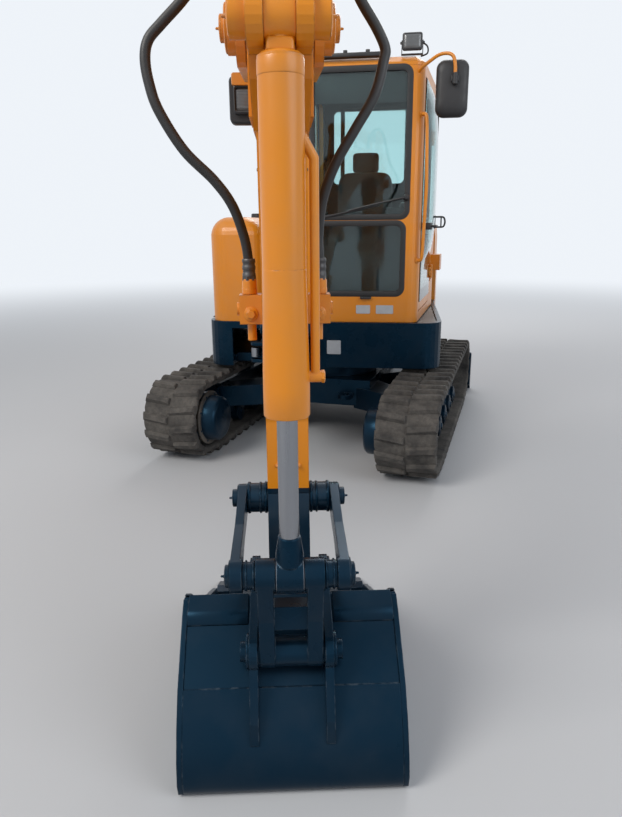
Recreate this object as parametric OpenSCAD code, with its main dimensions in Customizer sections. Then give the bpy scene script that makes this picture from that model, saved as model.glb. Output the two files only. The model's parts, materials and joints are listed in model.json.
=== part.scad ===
/* [Undercarriage] */
// Distance between the centre lines of the two tracks
track_gauge = 1545; // [1500:5:1600]
// Width of a rubber track
track_w = 370; // [340:5:400]
// Distance from sprocket centre to idler centre
tumbler_dist = 2020; // [1960:5:2100]
// Radius of the belt's outer face round a sprocket
belt_r = 240; // [232:1:248]
// Thickness of the rubber belt
belt_t = 42; // [36:1:48]
// Height of a track lug
lug_h = 22; // [16:1:26]
// Lugs along each half of a track
lug_count = 44; // [36:1:50]
// Height that the sprocket and idler are lifted over the flat run
end_lift = 23; // [14:1:30]
// Half length of the track that lies on the ground
ground_half = 830; // [780:5:880]
// Radius of a bottom roller
roller_r = 74; // [60:1:80]
// Radius of the carrier roller
carrier_r = 44; // [36:1:50]
// Running gap where a roller, idler or sprocket seats
seat_gap = 0.3; // [0.2:0.1:0.5]
// Angle from the upper structure back to the tracks
track_yaw = -9.6; // [-14:0.2:0]

/* [Blade] */
// Width of the dozer blade
blade_w = 1920; // [1860:10:1960]
// Height of the dozer blade
blade_h = 350; // [320:5:380]
// Thickness of the blade's curved plate
blade_t = 24; // [16:1:30]
// Distance from the slewing axis to the blade's hinge
blade_hinge_u = 700; // [660:5:740]
// Height of the blade's hinge
blade_hinge_z = 320; // [300:5:340]
// Distance from the slewing axis to the blade's edge
blade_edge_u = 1450; // [1420:5:1500]
// Half distance between the blade's two push arms
blade_arm_v = 330; // [300:5:360]

/* [Upper structure] */
// Half width of the skirt on the cab's side
skirt_left = 790; // [770:5:820]
// Half width of the skirt on the tank's side
skirt_right = 840; // [820:5:870]
// Distance from the slewing axis to the skirt's front
skirt_front = 560; // [540:5:590]
// Radius of the tail
tail_r = 1400; // [1360:10:1440]
// Height of the deck's underside
deck_z = 580; // [574:1:600]
// Height of the skirt's top
skirt_top = 888; // [870:1:910]
// Thickness of the skirt's plates
skirt_t = 30; // [20:1:40]
// Height of the tank cover's top
cover_top = 1590; // [1520:5:1640]
// Height of the counterweight's top
weight_top = 1180; // [1120:5:1240]
// Height of the engine hood's top
hood_top = 1560; // [1500:5:1600]

/* [Cab] */
// Height of the cab's roof
cab_top = 2540; // [2480:5:2560]
// Place of the cab's inner side wall
cab_in_x = -190; // [-210:5:-170]
// Place of the cab's front corner on the door side
cab_out_x = 615; // [600:5:640]
// Distance from the slewing axis to the cab's front
cab_front = 530; // [510:5:550]
// Distance from the slewing axis to the cab's back
cab_back = 640; // [600:5:680]
// Thickness of the cab's walls
cab_t = 55; // [45:1:70]
// Lean of the door side in plan, in degrees
door_lean = 7.5; // [5:0.5:9]
// Radius of the cab's upright corners
cab_r = 70; // [64:2:80]
// Radius of the windows' corners
pane_r = 50; // [30:5:60]
// Thickness of the window glass
glass_t = 6; // [4:1:8]

/* [Boom] */
// Place of the boom swing pin across the machine
swing_x = -242; // [-260:2:-220]
// Distance from the slewing axis to the boom swing pin
swing_front = 780; // [760:5:800]
// Angle that the boom is swung towards the cab's side
boom_yaw = 9.9; // [0:0.1:20]
// Forward distance of the boom foot pin from the swing pin
foot_t = 210; // [200:2:220]
// Height of the boom foot pin
foot_z = 905; // [890:5:920]
// Forward distance of the arm pin from the swing pin
arm_pin_t = 2400; // [2380:5:2420]
// Height of the arm pin
arm_pin_z = 2030; // [2010:5:2050]
// Width of the boom's box
boom_w = 200; // [180:2:210]
// Depth of the boom at its bend
boom_depth = 320; // [280:5:340]

/* [Arm and bucket] */
// Width of the arm's box
arm_w = 128; // [120:2:136]
// Forward distance of the bucket pin from the arm pin
bucket_pin_t = 60; // [50:2:70]
// Height of the bucket pin
bucket_pin_z = 460; // [450:2:470]
// Width of the bucket
bucket_w = 640; // [600:10:700]
// Thickness of the bucket's plates
bucket_plate = 16; // [12:1:20]
// Outer diameter of the bucket cylinder's tube
bucket_tube_d = 102; // [96:1:106]
// Diameter of the bucket cylinder's rod
bucket_rod_d = 52; // [46:1:56]

/* [Hidden] */
$fn = 48;

// Where the slewing axis stands from the middle of the whole machine's outline
slew_x = -20;
slew_y = 981;

orange = [0.93, 0.5, 0.06];
navy = [0.07, 0.1, 0.14];
rubber = [0.2, 0.18, 0.17];
steel = [0.7, 0.7, 0.72];
dark = [0.06, 0.06, 0.07];
smoke = [0.3, 0.38, 0.4, 0.4];

// Running clearance of a pin or a rod in its bore
fit = 0.05;
// Side gap of a boss between its two ears
ear_gap = 0.5;

// Places in the boom's plane, each [forward from the swing pin, height]
foot = [foot_t, foot_z];
arm_pin = [arm_pin_t, arm_pin_z];
boom_ram_base = [345, 650];
boom_ram_eye = [1005, 1447];
arm_ram_base = [1120, 2300];
arm_head_r = 380;
arm_head_a = 72;
arm_ram_eye = arm_pin + arm_head_r * [cos(arm_head_a), sin(arm_head_a)];

// Places in the arm's plane, each [forward from the arm pin, height]
arm_top = [0, arm_pin_z];
arm_eye = arm_ram_eye - [arm_pin_t, 0];
bucket_ram_base = [385, arm_pin_z - 76];
rod_pin = [385, 645];
idler_pin = [-5, 700];
bucket_pin = [bucket_pin_t, bucket_pin_z];
link_pin = [335, 380];

// Half widths in the boom's plane
fork_in = 88;
fork_out = 114;
fork_boss = 138;
head_in = 34;
head_out = 71;
head_boss = 107;
foot_in = 104;
foot_out = 138;

module at_slew() translate([slew_x, slew_y, 0]) children();
module under() at_slew() rotate([0, 0, track_yaw]) children();
module arm_front() front() translate([0, -arm_pin_t, 0]) children();
module front() at_slew() translate([swing_x, -swing_front, 0]) rotate([0, 0, boom_yaw]) children();

// A 2-D outline in [forward, height], made a plate of width h, its middle at w to the side
module side(h, w = 0) translate([w, 0, 0]) rotate([90, 0, -90]) linear_extrude(height = h, center = true) children();
// A round bar across the boom's plane at place p
module bar(p, r, len, w = 0) translate([w, -p[0], p[1]]) rotate([0, 90, 0]) cylinder(r = r, h = len, center = true);
// Children standing at p with their Z axis towards q
module along(p, q) translate([0, -p[0], p[1]]) rotate([atan2(q[0] - p[0], q[1] - p[1]), 0, 0]) children();

function arc(c, r, a0, a1, n) = [for (i = [0:n]) c + r * [cos(a0 + (a1 - a0) * i / n), sin(a0 + (a1 - a0) * i / n)]];
function len2(v) = sqrt(v[0] * v[0] + v[1] * v[1]);
function rev(list) = [for (i = [len(list) - 1:-1:0]) list[i]];
function bez(p, s) = pow(1 - s, 3) * p[0] + 3 * s * pow(1 - s, 2) * p[1] + 3 * s * s * (1 - s) * p[2] + pow(s, 3) * p[3];
function bez_dir(p, s) = 3 * pow(1 - s, 2) * (p[1] - p[0]) + 6 * s * (1 - s) * (p[2] - p[1]) + 3 * s * s * (p[3] - p[2]);
function left_of(d) = [-d[1], d[0]] / len2(d);
function span(p, q) = len2(q - p);

// A hydraulic tube from its base eye, with a bore for its rod and one for its pin
module tube(length, r, rod_r, eye_r, eye_w, neck, pin_r) difference() {
    union() {
        translate([0, 0, neck]) cylinder(r = r, h = length - neck);
        translate([0, 0, length - gland_h]) cylinder(r = r + 5, h = gland_h);
        cylinder(r = r * 0.62, h = neck + 1);
        rotate([0, 90, 0]) cylinder(r = eye_r, h = eye_w, center = true);
    }
    translate([0, 0, neck + 24]) cylinder(r = rod_r + fit, h = length);
    rotate([0, 90, 0]) cylinder(r = pin_r + fit, h = eye_w + 2, center = true);
}
gland_h = 46;
ram_pin_r = 24;
// A rod that ends at its eye, which sits at the origin; the rod runs back along -Z
module rod(length, r, eye_r, eye_w) {
    translate([0, 0, -length]) cylinder(r = r, h = length);
    translate([0, 0, -eye_r - 34]) cylinder(r = r + 7, h = 40);
    rotate([0, 90, 0]) cylinder(r = eye_r, h = eye_w, center = true);
}

// Track loop: a half outline with its lugs, shifted along the loop by phase
end_z = belt_r + lug_h + end_lift;
half_l = tumbler_dist / 2;
top_len = tumbler_dist;
ramp = [half_l - ground_half, end_lift];
ramp_len = len2(ramp);
arc_len = PI * belt_r;
// The loop is walked from the rear top, forward over the top, round, and back along the ground
loop_len = top_len + 2 * arc_len + 2 * ground_half + 2 * ramp_len;
function loop_at(s0) = let (s = s0 - loop_len * floor(s0 / loop_len))
    s < top_len ? [[-half_l + s, end_z + belt_r], [0, 1]] :
    s < top_len + arc_len ? let (a = 90 - (s - top_len) / arc_len * 180)
        [[half_l, end_z] + belt_r * [cos(a), sin(a)], [cos(a), sin(a)]] :
    s < top_len + arc_len + ramp_len ? let (k = (s - top_len - arc_len) / ramp_len)
        [[half_l, end_z - belt_r] - k * ramp, left_of([ramp[0], ramp[1]]) * -1] :
    s < top_len + arc_len + ramp_len + 2 * ground_half ?
        [[ground_half - (s - top_len - arc_len - ramp_len), lug_h], [0, -1]] :
    s < top_len + arc_len + 2 * ramp_len + 2 * ground_half ?
        let (k = (s - top_len - arc_len - ramp_len - 2 * ground_half) / ramp_len)
        [[-ground_half - k * ramp[0], lug_h + k * ramp[1]], left_of([ramp[0], -ramp[1]]) * -1] :
    let (a = -90 - (s - top_len - arc_len - 2 * ramp_len - 2 * ground_half) / arc_len * 180)
        [[-half_l, end_z] + belt_r * [cos(a), sin(a)], [cos(a), sin(a)]];
function lug_pt(s, h) = let (p = loop_at(s)) p[0] + h * p[1];
lug_pitch = loop_len / lug_count;
function lug_outline(phase) = [for (i = [0:lug_count - 1]) let (s = (i + phase) * lug_pitch)
    each [lug_pt(s, 0), lug_pt(s + lug_pitch * 0.06, lug_h), lug_pt(s + lug_pitch * 0.36, lug_h),
        lug_pt(s + lug_pitch * 0.44, 0)]];

// A 2-D outline in [u, z], made a plate of width h across the tracks, its middle at v
module lengthwise(h, v = 0) translate([v, 0, 0]) rotate([90, 0, 90]) linear_extrude(height = h, center = true) children();
module cross_bar(u, z, r, len, v = 0) translate([v, u, z]) rotate([0, 90, 0]) cylinder(r = r, h = len, center = true);
module both_sides() { children(); mirror([1, 0, 0]) children(); }
inner_r = belt_r - belt_t;

module track() {
    difference() {
        for (k = [0, 1]) lengthwise(track_w / 2, (k - 0.5) * track_w / 2) polygon(lug_outline(k / 2));
        lengthwise(track_w + 2) polygon([[-half_l, end_z + inner_r], [half_l, end_z + inner_r],
            [half_l, end_z - inner_r], [ground_half, lug_h + belt_t], [-ground_half, lug_h + belt_t],
            [-half_l, end_z - inner_r]]);
        for (u = [-half_l, half_l]) cross_bar(u, end_z, inner_r, track_w + 2);
    }
}
module tracks() color(rubber) under() for (s = [-1, 1]) translate([s * track_gauge / 2, 0, 0]) track();

// Where the legs meet the plate behind each track frame
leg_end = track_gauge / 2 - 80 - seat_gap;
roller_us = [-620, -310, 0, 310, 620];
roller_w = 210;
module track_frames() color(navy) under() both_sides() translate([track_gauge / 2, 0, 0]) {
    difference() {
        lengthwise(160) polygon([[-790, 210], [-700, 160], [700, 160], [820, 200], [900, 230], [900, 345],
            [760, 400], [-600, 420], [-790, 350]]);
        translate([0, 900, end_z]) cube([70, 200, 240], center = true);
    }
    for (u = roller_us) cross_bar(u, lug_h + belt_t + roller_r + seat_gap, roller_r, roller_w);
    cross_bar(60, end_z + inner_r - carrier_r - seat_gap, carrier_r, 120);
    translate([-30, 40, 380]) cube([60, 40, end_z + inner_r - carrier_r - 380]);
    // Yoke that carries the idler
    for (s = [-1, 1]) translate([s * 64, 920, end_z]) cube([22, 270, 76], center = true);
    // Plate that carries the final drive
    translate([-70, -half_l, end_z]) rotate([0, 90, 0]) cylinder(r = 158, h = 30, center = true);
    lengthwise(30, -70) polygon([[-half_l, end_z - 150], [-760, 190], [-760, 400], [-half_l, end_z + 150]]);
}
module idlers() color(navy) under() for (s = [-1, 1]) translate([s * track_gauge / 2, half_l, end_z])
    rotate([0, 90, 0]) {
        cylinder(r = inner_r - seat_gap, h = 52, center = true);
        cylinder(r = 70, h = 105, center = true);
    }
sprocket_teeth = 15;
// Corners of a tooth, each [angle from its middle, radius]
tooth = [[-8, inner_r - 24], [-3, inner_r - seat_gap - 1], [3, inner_r - seat_gap - 1], [8, inner_r - 24]];
module sprockets() color(dark) under() both_sides() translate([track_gauge / 2, -half_l, end_z]) rotate([0, 90, 0]) {
    translate([0, 0, -23]) linear_extrude(height = 46) polygon([for (i = [0:sprocket_teeth - 1]) for (c = tooth)
        c[1] * [cos(i * 360 / sprocket_teeth + c[0]), sin(i * 360 / sprocket_teeth + c[0])]]);
    translate([0, 0, 20]) cylinder(r = 138, h = 100);
    translate([0, 0, 118]) cylinder(r = 96, h = 28);
    translate([0, 0, -55 + seat_gap]) cylinder(r = 130, h = 40);
    translate([0, 0, -250]) cylinder(r = 104, h = 165 - seat_gap);
}

body_lo = 270;
body_hi = 460;
blade_arm_w = 80;
lug_w = 22;
blade_pin_r = 22;
tie_r = 25;
tie_u = -462;
tie_z = 350;
module car_body() color(navy) under() {
    translate([-380, -410, body_lo]) cube([760, 820, body_hi - body_lo]);
    // Four legs that carry the track frames
    both_sides() for (e = [-1, 1]) translate([0, 0, body_lo - 20]) linear_extrude(height = 150)
        polygon([[260, e * 400], [leg_end, e * 620], [leg_end, e * 430], [380, e * 120]]);
    translate([0, 0, body_hi - 5]) cylinder(r = 340, h = deck_z - 18 - body_hi + 5);
    // Lugs for the blade's push arms and its cylinder
    for (s = [-1, 1]) for (e = [-1, 1])
        lengthwise(lug_w, s * blade_arm_v + e * (blade_arm_w / 2 + ear_gap + lug_w / 2)) polygon(concat(
            [[400, 265], [400, 420], [blade_hinge_u - 60, 400]],
            arc([blade_hinge_u, blade_hinge_z], 52, 80, -100, 10), [[blade_hinge_u - 70, 262]]));
    for (s = [-1, 1]) cross_bar(blade_hinge_u, blade_hinge_z, blade_pin_r, 160, s * blade_arm_v);
    for (w = [-47, 47]) lengthwise(lug_w, w) polygon(concat([[380, 300], [380, 455], [565, 478]],
        arc(blade_ram_base, 42, 90, -90, 10)));
    cross_bar(blade_ram_base[0], blade_ram_base[1], 20, 150);
    // Tie-down eyes at the other end
    for (s = [-1, 1]) translate([s * 210, 0, tie_z - 15]) linear_extrude(height = 30) difference() {
        polygon(concat([[-50, -400], [50, -400]], arc([0, tie_u], 50, 0, -180, 10)));
        translate([0, tie_u]) circle(r = tie_r);
    }
}
blade_ram_base = [590, 440];
blade_ram_eye = [1310, 330];
module blade() color(navy) under() {
    // Curved plate
    difference() {
        union() {
            lengthwise(blade_w) polygon(concat(
                arc([blade_edge_u + 210, 190], 250, 215, 145, 12),
                rev(arc([blade_edge_u + 210, 190], 250 - blade_t, 215, 145, 12))));
            lengthwise(blade_w) polygon([[blade_edge_u - 2, 60], [blade_edge_u + 26, 0], [blade_edge_u + 40, 0], [blade_edge_u + 40, 60]]);
            for (s = [-1, 1]) lengthwise(16, s * (blade_w / 2 - 8)) polygon([[blade_edge_u - 60, 60], [blade_edge_u + 40, 10],
                [blade_edge_u + 40, blade_h - 10], [blade_edge_u - 30, blade_h]]);
            for (s = [-1, 1]) lengthwise(blade_arm_w, s * blade_arm_v) polygon(concat(
                [[blade_hinge_u, blade_hinge_z + 46]], arc([blade_hinge_u, blade_hinge_z], 46, 90, 270, 10),
                [[1180, 90], [blade_edge_u - 20, 40], [blade_edge_u - 20, 300], [1300, 250], [1160, 210]]));
            translate([-blade_w / 2 + 60, blade_edge_u - 120, 96]) cube([blade_w - 120, 110, 90]);
            for (w = [-47, 47]) lengthwise(22, w) polygon(concat([[blade_edge_u - 30, 150], [blade_edge_u - 30, 380]],
                arc(blade_ram_eye, 44, 90, 270, 10)));
        }
        for (s = [-1, 1]) cross_bar(blade_hinge_u, blade_hinge_z, blade_pin_r + fit, 200, s * blade_arm_v);
    }
    for (w = [-66, 66]) cross_bar(blade_ram_eye[0], blade_ram_eye[1], 26, 18, w);
}
module ulong(p, q) translate([0, p[0], p[1]]) rotate([atan2(-(q[0] - p[0]), q[1] - p[1]), 0, 0]) children();
blade_ram_len = span(blade_ram_base, blade_ram_eye);
module blade_tube() color(orange) under() ulong(blade_ram_base, blade_ram_eye) tube(430, 40, 24, 36, 71, 60, 20);
module blade_rod() color(steel) under() translate([0, blade_ram_eye[0], blade_ram_eye[1]])
    rotate([atan2(-(blade_ram_eye[0] - blade_ram_base[0]), blade_ram_eye[1] - blade_ram_base[1]), 0, 0])
    rod(blade_ram_len - 210, 24, 38, 71);

// Plan of the upper structure; grow widens it evenly
function plan(grow) = concat(
    [[-skirt_right - grow + 130, -skirt_front - grow]], [[skirt_left + grow - 130, -skirt_front - grow]],
    arc([skirt_left + grow - 130, -skirt_front - grow + 130], 130, -80, 0, 5),
    [[skirt_left + grow, 760]], arc([0, 0], tail_r + grow, 54, 126, 14),
    [[-skirt_right - grow, 760]], arc([-skirt_right - grow + 130, -skirt_front - grow + 130], 130, 180, 260, 5));
post_gap_l = -660;
post_gap_r = -40;
module main_frame() color(navy) at_slew() {
    translate([0, 0, deck_z]) linear_extrude(height = 60) difference() {
        intersection() {
            polygon(plan(-skirt_t - seat_gap));
            circle(r = deck_r, $fn = 96);
        }
        translate([post_gap_l, -skirt_front - 10]) square([post_gap_r - post_gap_l, 150]);
    }
    translate([0, 0, deck_z - 18 + seat_gap]) cylinder(r = 300, h = 30);
    // Front lugs that hold the swing post
    for (z = [lug_lo, lug_hi]) translate([0, 0, z]) linear_extrude(height = lug_t) difference() {
        polygon(concat([[swing_x + rib_x, -skirt_front + 145], [swing_x - rib_x, -skirt_front + 145]],
            arc([swing_x, -swing_front], 92, 200, 340, 12)));
        translate([swing_x, -swing_front]) circle(r = swing_pin_big + fit);
    }
    for (x = [swing_x - rib_x, swing_x + rib_x - 30]) translate([x, -skirt_front + 140, deck_z])
        cube([30, 600, lug_hi + lug_t - deck_z]);
    translate([swing_x - rib_x, -skirt_front + 140, deck_z]) cube([2 * rib_x, 30, lug_hi + lug_t - deck_z]);
    // Post and pin at the swing cylinder's base
    translate([swing_x - swing_lever, swing_ram_y, deck_z]) {
        cylinder(r = 34, h = swing_ram_z - 30 - ear_gap - deck_z);
        cylinder(r = swing_pin_r, h = swing_ram_z + 60 - deck_z);
    }
}
rib_x = 140;
// The deck ends short of the tail, where the raised blade's brackets reach up
deck_r = 1055;
swing_lever = 200;
swing_pin_r = 18;
swing_pin_big = 38;
lug_lo = 600;
lug_hi = 790;
lug_t = 45;
module skirt() color(navy) at_slew() difference() {
    translate([0, 0, deck_z - 6]) linear_extrude(height = skirt_top - deck_z + 6) difference() {
        polygon(plan(0));
        polygon(plan(-skirt_t));
    }
    translate([post_gap_l, -skirt_front - 10, 0]) cube([post_gap_r - post_gap_l, 120, lug_hi + lug_t + 6]);
    translate([-1000, weight_front - seat_gap, 0]) cube([2000, 900, 2000]);
    // The rear corners stop short of the raised blade
    rotate_extrude() translate([1160, 0]) square([400, 700]);
}
weight_lo = deck_z + 60.3;
weight_front = 930;
module counterweight() color(orange) at_slew() difference() {
    translate([0, 0, weight_lo]) linear_extrude(height = weight_top - weight_lo) polygon(plan(-1));
    translate([-1000, weight_front - 2000, 0]) cube([2000, 2000, 2000]);
    // Room for the engine, and the sloped underside that clears the raised blade
    translate([engine_lo[0] - 40, 900, 0]) cube([engine_hi[0] - engine_lo[0] + 80, engine_hi[1] - 860, 2000]);
    rotate_extrude() polygon([[1150, weight_lo - 20], [1160, weight_lo], [1240, 692], [1310, 708],
        [tail_r + 40, weight_lo + 150], [tail_r + 40, weight_lo - 20]]);
}
engine_lo = [-600, 700, weight_lo];
engine_hi = [300, 1160, 1262];
module engine() color(dark) at_slew() translate(engine_lo) cube(engine_hi - engine_lo);
// Slices of the engine hood, each [inset from the plan, height]
hood_lo = weight_top + 6;
hood_slices = [[12, hood_lo], [14, hood_top - 130], [26, hood_top - 60], [52, hood_top - 22], [104, hood_top]];
hood_front = 680;
hood_t = 34;
module hood_form(t, y0) hull() for (h = hood_slices)
    translate([0, 0, max(h[1] - t, hood_lo - t)]) linear_extrude(height = 1) intersection() {
        polygon(plan(-h[0] - t));
        translate([-1000, y0]) square([2000, 1000]);
    }
hood_hinge_y = hood_front - 10;
hood_hinge_z = hood_top + 14;
hood_hinges = [-420, 380];
module engine_hood() color(orange) at_slew() difference() {
    union() {
        difference() {
            hood_form(0, hood_front);
            hood_form(hood_t, hood_front - 100);
        }
        for (x = hood_hinges) translate([x, 0, 0]) {
            translate([-30, hood_hinge_y, hood_hinge_z - 6]) cube([60, 150, 12]);
            translate([-30, hood_hinge_y + 110, hood_top - 20]) cube([60, 40, 40]);
            translate([0, hood_hinge_y, hood_hinge_z]) rotate([0, 90, 0]) cylinder(r = 13, h = 60, center = true);
        }
    }
    for (x = hood_hinges) translate([x, hood_hinge_y, hood_hinge_z]) rotate([0, 90, 0])
        cylinder(r = 7 + fit, h = 70, center = true);
    // Air slots through the rear wall
    for (x = [-460, 160]) for (i = [0:6]) translate([x, 1230, hood_lo + 50 + i * 30]) cube([300, 240, 14]);
}
module firewall() color(dark) at_slew() {
    translate([0, hood_front - 6, 0]) rotate([90, 0, 0]) linear_extrude(height = 16) polygon([
        [-skirt_right + 60, weight_lo], [-skirt_right + 60, hood_top - 120], [-skirt_right + 160, hood_top - 40],
        [skirt_left - 160, hood_top - 40], [skirt_left - 60, hood_top - 120], [skirt_left - 60, weight_lo]]);
    for (x = hood_hinges) translate([x, hood_hinge_y, 0]) {
        for (e = [-1, 1]) translate([e * (30.5 + 9), 0, 0]) {
            translate([-9, -10, hood_top - 60]) cube([18, 14, hood_hinge_z - hood_top + 60]);
            translate([0, 0, hood_hinge_z]) rotate([0, 90, 0]) cylinder(r = 13, h = 18, center = true);
        }
        translate([0, 0, hood_hinge_z]) rotate([0, 90, 0]) cylinder(r = 7, h = 90, center = true);
    }
}
module shell_block(lo, hi, r, t) difference() {
    rounded(lo, hi, r);
    translate([0, 0, -1]) rounded(lo + [t, t, -5], hi - [t, t, t], max(r - t, 5));
}
// A block with rounded upright corners and a rounded top edge
module rounded(lo, hi, r) hull() for (x = [lo[0] + r, hi[0] - r]) for (y = [lo[1] + r, hi[1] - r])
    translate([x, y, 0]) {
        translate([0, 0, lo[2]]) cylinder(r = r, h = 1, $fn = 32);
        translate([0, 0, hi[2] - r]) sphere(r = r, $fn = 32);
    }
module tank_cover() color(orange) at_slew() difference() {
    shell_block([-815, -skirt_front + 8, skirt_top + seat_gap], [-455, hood_front - 30, cover_top], 130, 30);
    // Air slots through the outer side
    for (i = [0:8]) translate([-830, 120, 1020 + i * 34]) cube([60, 340, 16]);
}

// The cab's plan, shrunk evenly by s
cab_len = cab_front + cab_back;
cab_rear_x = cab_out_x + cab_len * tan(door_lean);
cab_corner_x = cab_out_x - cab_r * (1 - sin(door_lean)) / cos(door_lean);
function cab_plan(s) = concat(
    arc([cab_in_x + cab_r, -cab_front + cab_r], cab_r - s, 180, 270, 5),
    arc([cab_corner_x, -cab_front + cab_r], cab_r - s, 270, 360 - door_lean, 5),
    arc([cab_rear_x - cab_r * (1 + sin(door_lean)) / cos(door_lean), cab_back - cab_r], cab_r - s, -door_lean, 90, 5),
    arc([cab_in_x + cab_r, cab_back - cab_r], cab_r - s, 90, 180, 5));
// A block between two corners, with its four edges along Y or along X rounded
module pane_y(lo, hi, r) union() {
    translate(lo + [r, 0, 0]) cube(hi - lo - [2 * r, 0, 0]);
    translate(lo + [0, 0, r]) cube(hi - lo - [0, 0, 2 * r]);
    for (x = [lo[0] + r, hi[0] - r]) for (z = [lo[2] + r, hi[2] - r])
        translate([x, lo[1], z]) rotate([-90, 0, 0]) cylinder(r = r, h = hi[1] - lo[1], $fn = 32);
}
module pane_x(lo, hi, r) union() {
    translate(lo + [0, r, 0]) cube(hi - lo - [0, 2 * r, 0]);
    translate(lo + [0, 0, r]) cube(hi - lo - [0, 0, 2 * r]);
    for (y = [lo[1] + r, hi[1] - r]) for (z = [lo[2] + r, hi[2] - r])
        translate([lo[0], y, z]) rotate([0, 90, 0]) cylinder(r = r, h = hi[0] - lo[0], $fn = 32);
}
cab_z = skirt_top + seat_gap;
// Places on the door's side: children stand at the front corner with -Y along the wall to the front
module door_side() at_slew() translate([cab_out_x, -cab_front, 0]) rotate([0, 0, -door_lean]) children();
door_y0 = 70;
door_y1 = 800;
door_z0 = cab_z + 60;
door_z1 = cab_top - 110;
door_gap = 8;
// The door's hinge pin stands outside the wall, behind the door's rear edge
hinge_x = 14;
hinge_y = door_y1 - door_gap;
hinge_r = 13;
hinge_pin_r = 7;
hinge_zs = [1180, 2150];
hinge_h = 60;
// Window openings, each [start, end, bottom, top] along its wall
front_panes = [[cab_in_x + 95, cab_out_x - 80, 1575, 2475], [cab_in_x + 115, cab_out_x - 100, 1075, 1545]];
side_pane = [-cab_front + 120, cab_back - 120, 1500, 2440];
rear_pane = [cab_in_x + 110, cab_in_x + 830, 1620, 2420];
quarter_pane = [door_y1 + 80, door_y1 + 310, 1560, 2420];
door_panes = [[door_y0 + 60, door_y1 - 60, 1560, 2360], [door_y0 + 60, door_y1 - 60, 1080, 1480]];
// Gap round a window's glass
pane_gap = 0.3;
module cab_shell() color(orange) {
    difference() {
        at_slew() difference() {
            translate([0, 0, cab_z]) linear_extrude(height = cab_top - 60 - cab_z) polygon(cab_plan(0));
            translate([0, 0, cab_z + 50]) linear_extrude(height = cab_top) polygon(cab_plan(cab_t));
            for (w = front_panes) pane_y([w[0], -cab_front - 10, w[2]], [w[1], -cab_front + 70, w[3]], pane_r);
            pane_x([cab_in_x - 10, side_pane[0], side_pane[2]], [cab_in_x + 70, side_pane[1], side_pane[3]], pane_r);
            pane_y([rear_pane[0], cab_back - 70, rear_pane[2]], [rear_pane[1], cab_back + 20, rear_pane[3]], pane_r);
        }
        door_side() {
            pane_x([-90, door_y0, door_z0], [10, door_y1, door_z1], pane_r);
            pane_x([-90, quarter_pane[0], quarter_pane[2]], [10, quarter_pane[1], quarter_pane[3]], pane_r);
        }
    }
    // Brackets and pins of the door's hinges
    door_side() for (z = hinge_zs) {
        for (e = [z - hinge_h / 2 - 20 - ear_gap, z + hinge_h / 2 + ear_gap]) translate([0, 0, e]) {
            translate([-1, hinge_y + 9, 0]) cube([hinge_x + 9, 60, 20]);
            translate([hinge_x, hinge_y, 0]) cylinder(r = hinge_r, h = 20);
        }
        translate([hinge_x, hinge_y, z - hinge_h / 2 - 20]) cylinder(r = hinge_pin_r, h = hinge_h + 40);
    }
}
// Bolt holes for a guard over the roof
guard_x = 520;
guard_y = 760;
guard_mid = [235, 50];
module cab_roof() color(orange) at_slew() difference() {
    hull() {
        translate([0, 0, cab_top - 60 + seat_gap]) linear_extrude(height = 20) polygon(cab_plan(0));
        translate([0, 0, cab_top - 1]) linear_extrude(height = 1) polygon(cab_plan(60));
    }
    for (x = [-1, 1]) for (y = [-1, 1])
        translate([guard_mid[0] + x * guard_x / 2, guard_mid[1] + y * guard_y / 2, cab_top - 24])
            cylinder(r = 6, h = 30);
}
module glass_y(w, y) pane_y([w[0] + pane_gap, y, w[2] + pane_gap], [w[1] - pane_gap, y + glass_t, w[3] - pane_gap], pane_r);
module glass_x(w, x) pane_x([x, w[0] + pane_gap, w[2] + pane_gap], [x + glass_t, w[1] - pane_gap, w[3] - pane_gap], pane_r);
module cab_glass() color(smoke) {
    at_slew() {
        for (w = front_panes) glass_y(w, -cab_front + 12);
        glass_x(side_pane, cab_in_x + 12);
        glass_y(rear_pane, cab_back - 18);
    }
    door_side() glass_x(quarter_pane, -18);
}
module cab_floor() color(dark) at_slew() translate([0, 0, cab_z + 50.3]) linear_extrude(height = 30) polygon(cab_plan(cab_t + 0.3));
module seat() color(dark) at_slew() {
    translate([0, 60, cab_z + 80.6]) cube([420, 420, 250]);
    translate([-20, 40, cab_z + 330]) cube([460, 460, 110]);
    translate([0, 430, cab_z + 430]) cube([420, 110, 560]);
}
module consoles() color(dark) at_slew() for (x = [-120, 460]) {
    translate([x, -60, cab_z + 80.6]) cube([90, 440, 480]);
    translate([x + 45, -20, cab_z + 560]) cylinder(r = 16, h = 180);
    translate([x + 45, -20, cab_z + 730]) sphere(r = 34);
}
door_t = 40;
module door_frame() color(orange) door_side() difference() {
    union() {
        pane_x([-door_t, door_y0 + door_gap, door_z0 + door_gap], [0, door_y1 - door_gap, door_z1 - door_gap], pane_r - door_gap);
        for (z = hinge_zs) translate([0, 0, z - hinge_h / 2]) {
            translate([-1, hinge_y - 60, 0]) cube([hinge_x + 1, 60, hinge_h]);
            translate([hinge_x, hinge_y, 0]) cylinder(r = hinge_r, h = hinge_h);
        }
    }
    for (w = door_panes) pane_x([-door_t - 1, w[0], w[2]], [1, w[1], w[3]], pane_r);
    for (z = hinge_zs) translate([hinge_x, hinge_y, z]) cylinder(r = hinge_pin_r + fit, h = hinge_h + 2, center = true);
}
module door_glass() color(smoke) door_side() for (w = door_panes) glass_x(w, -22);
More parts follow.
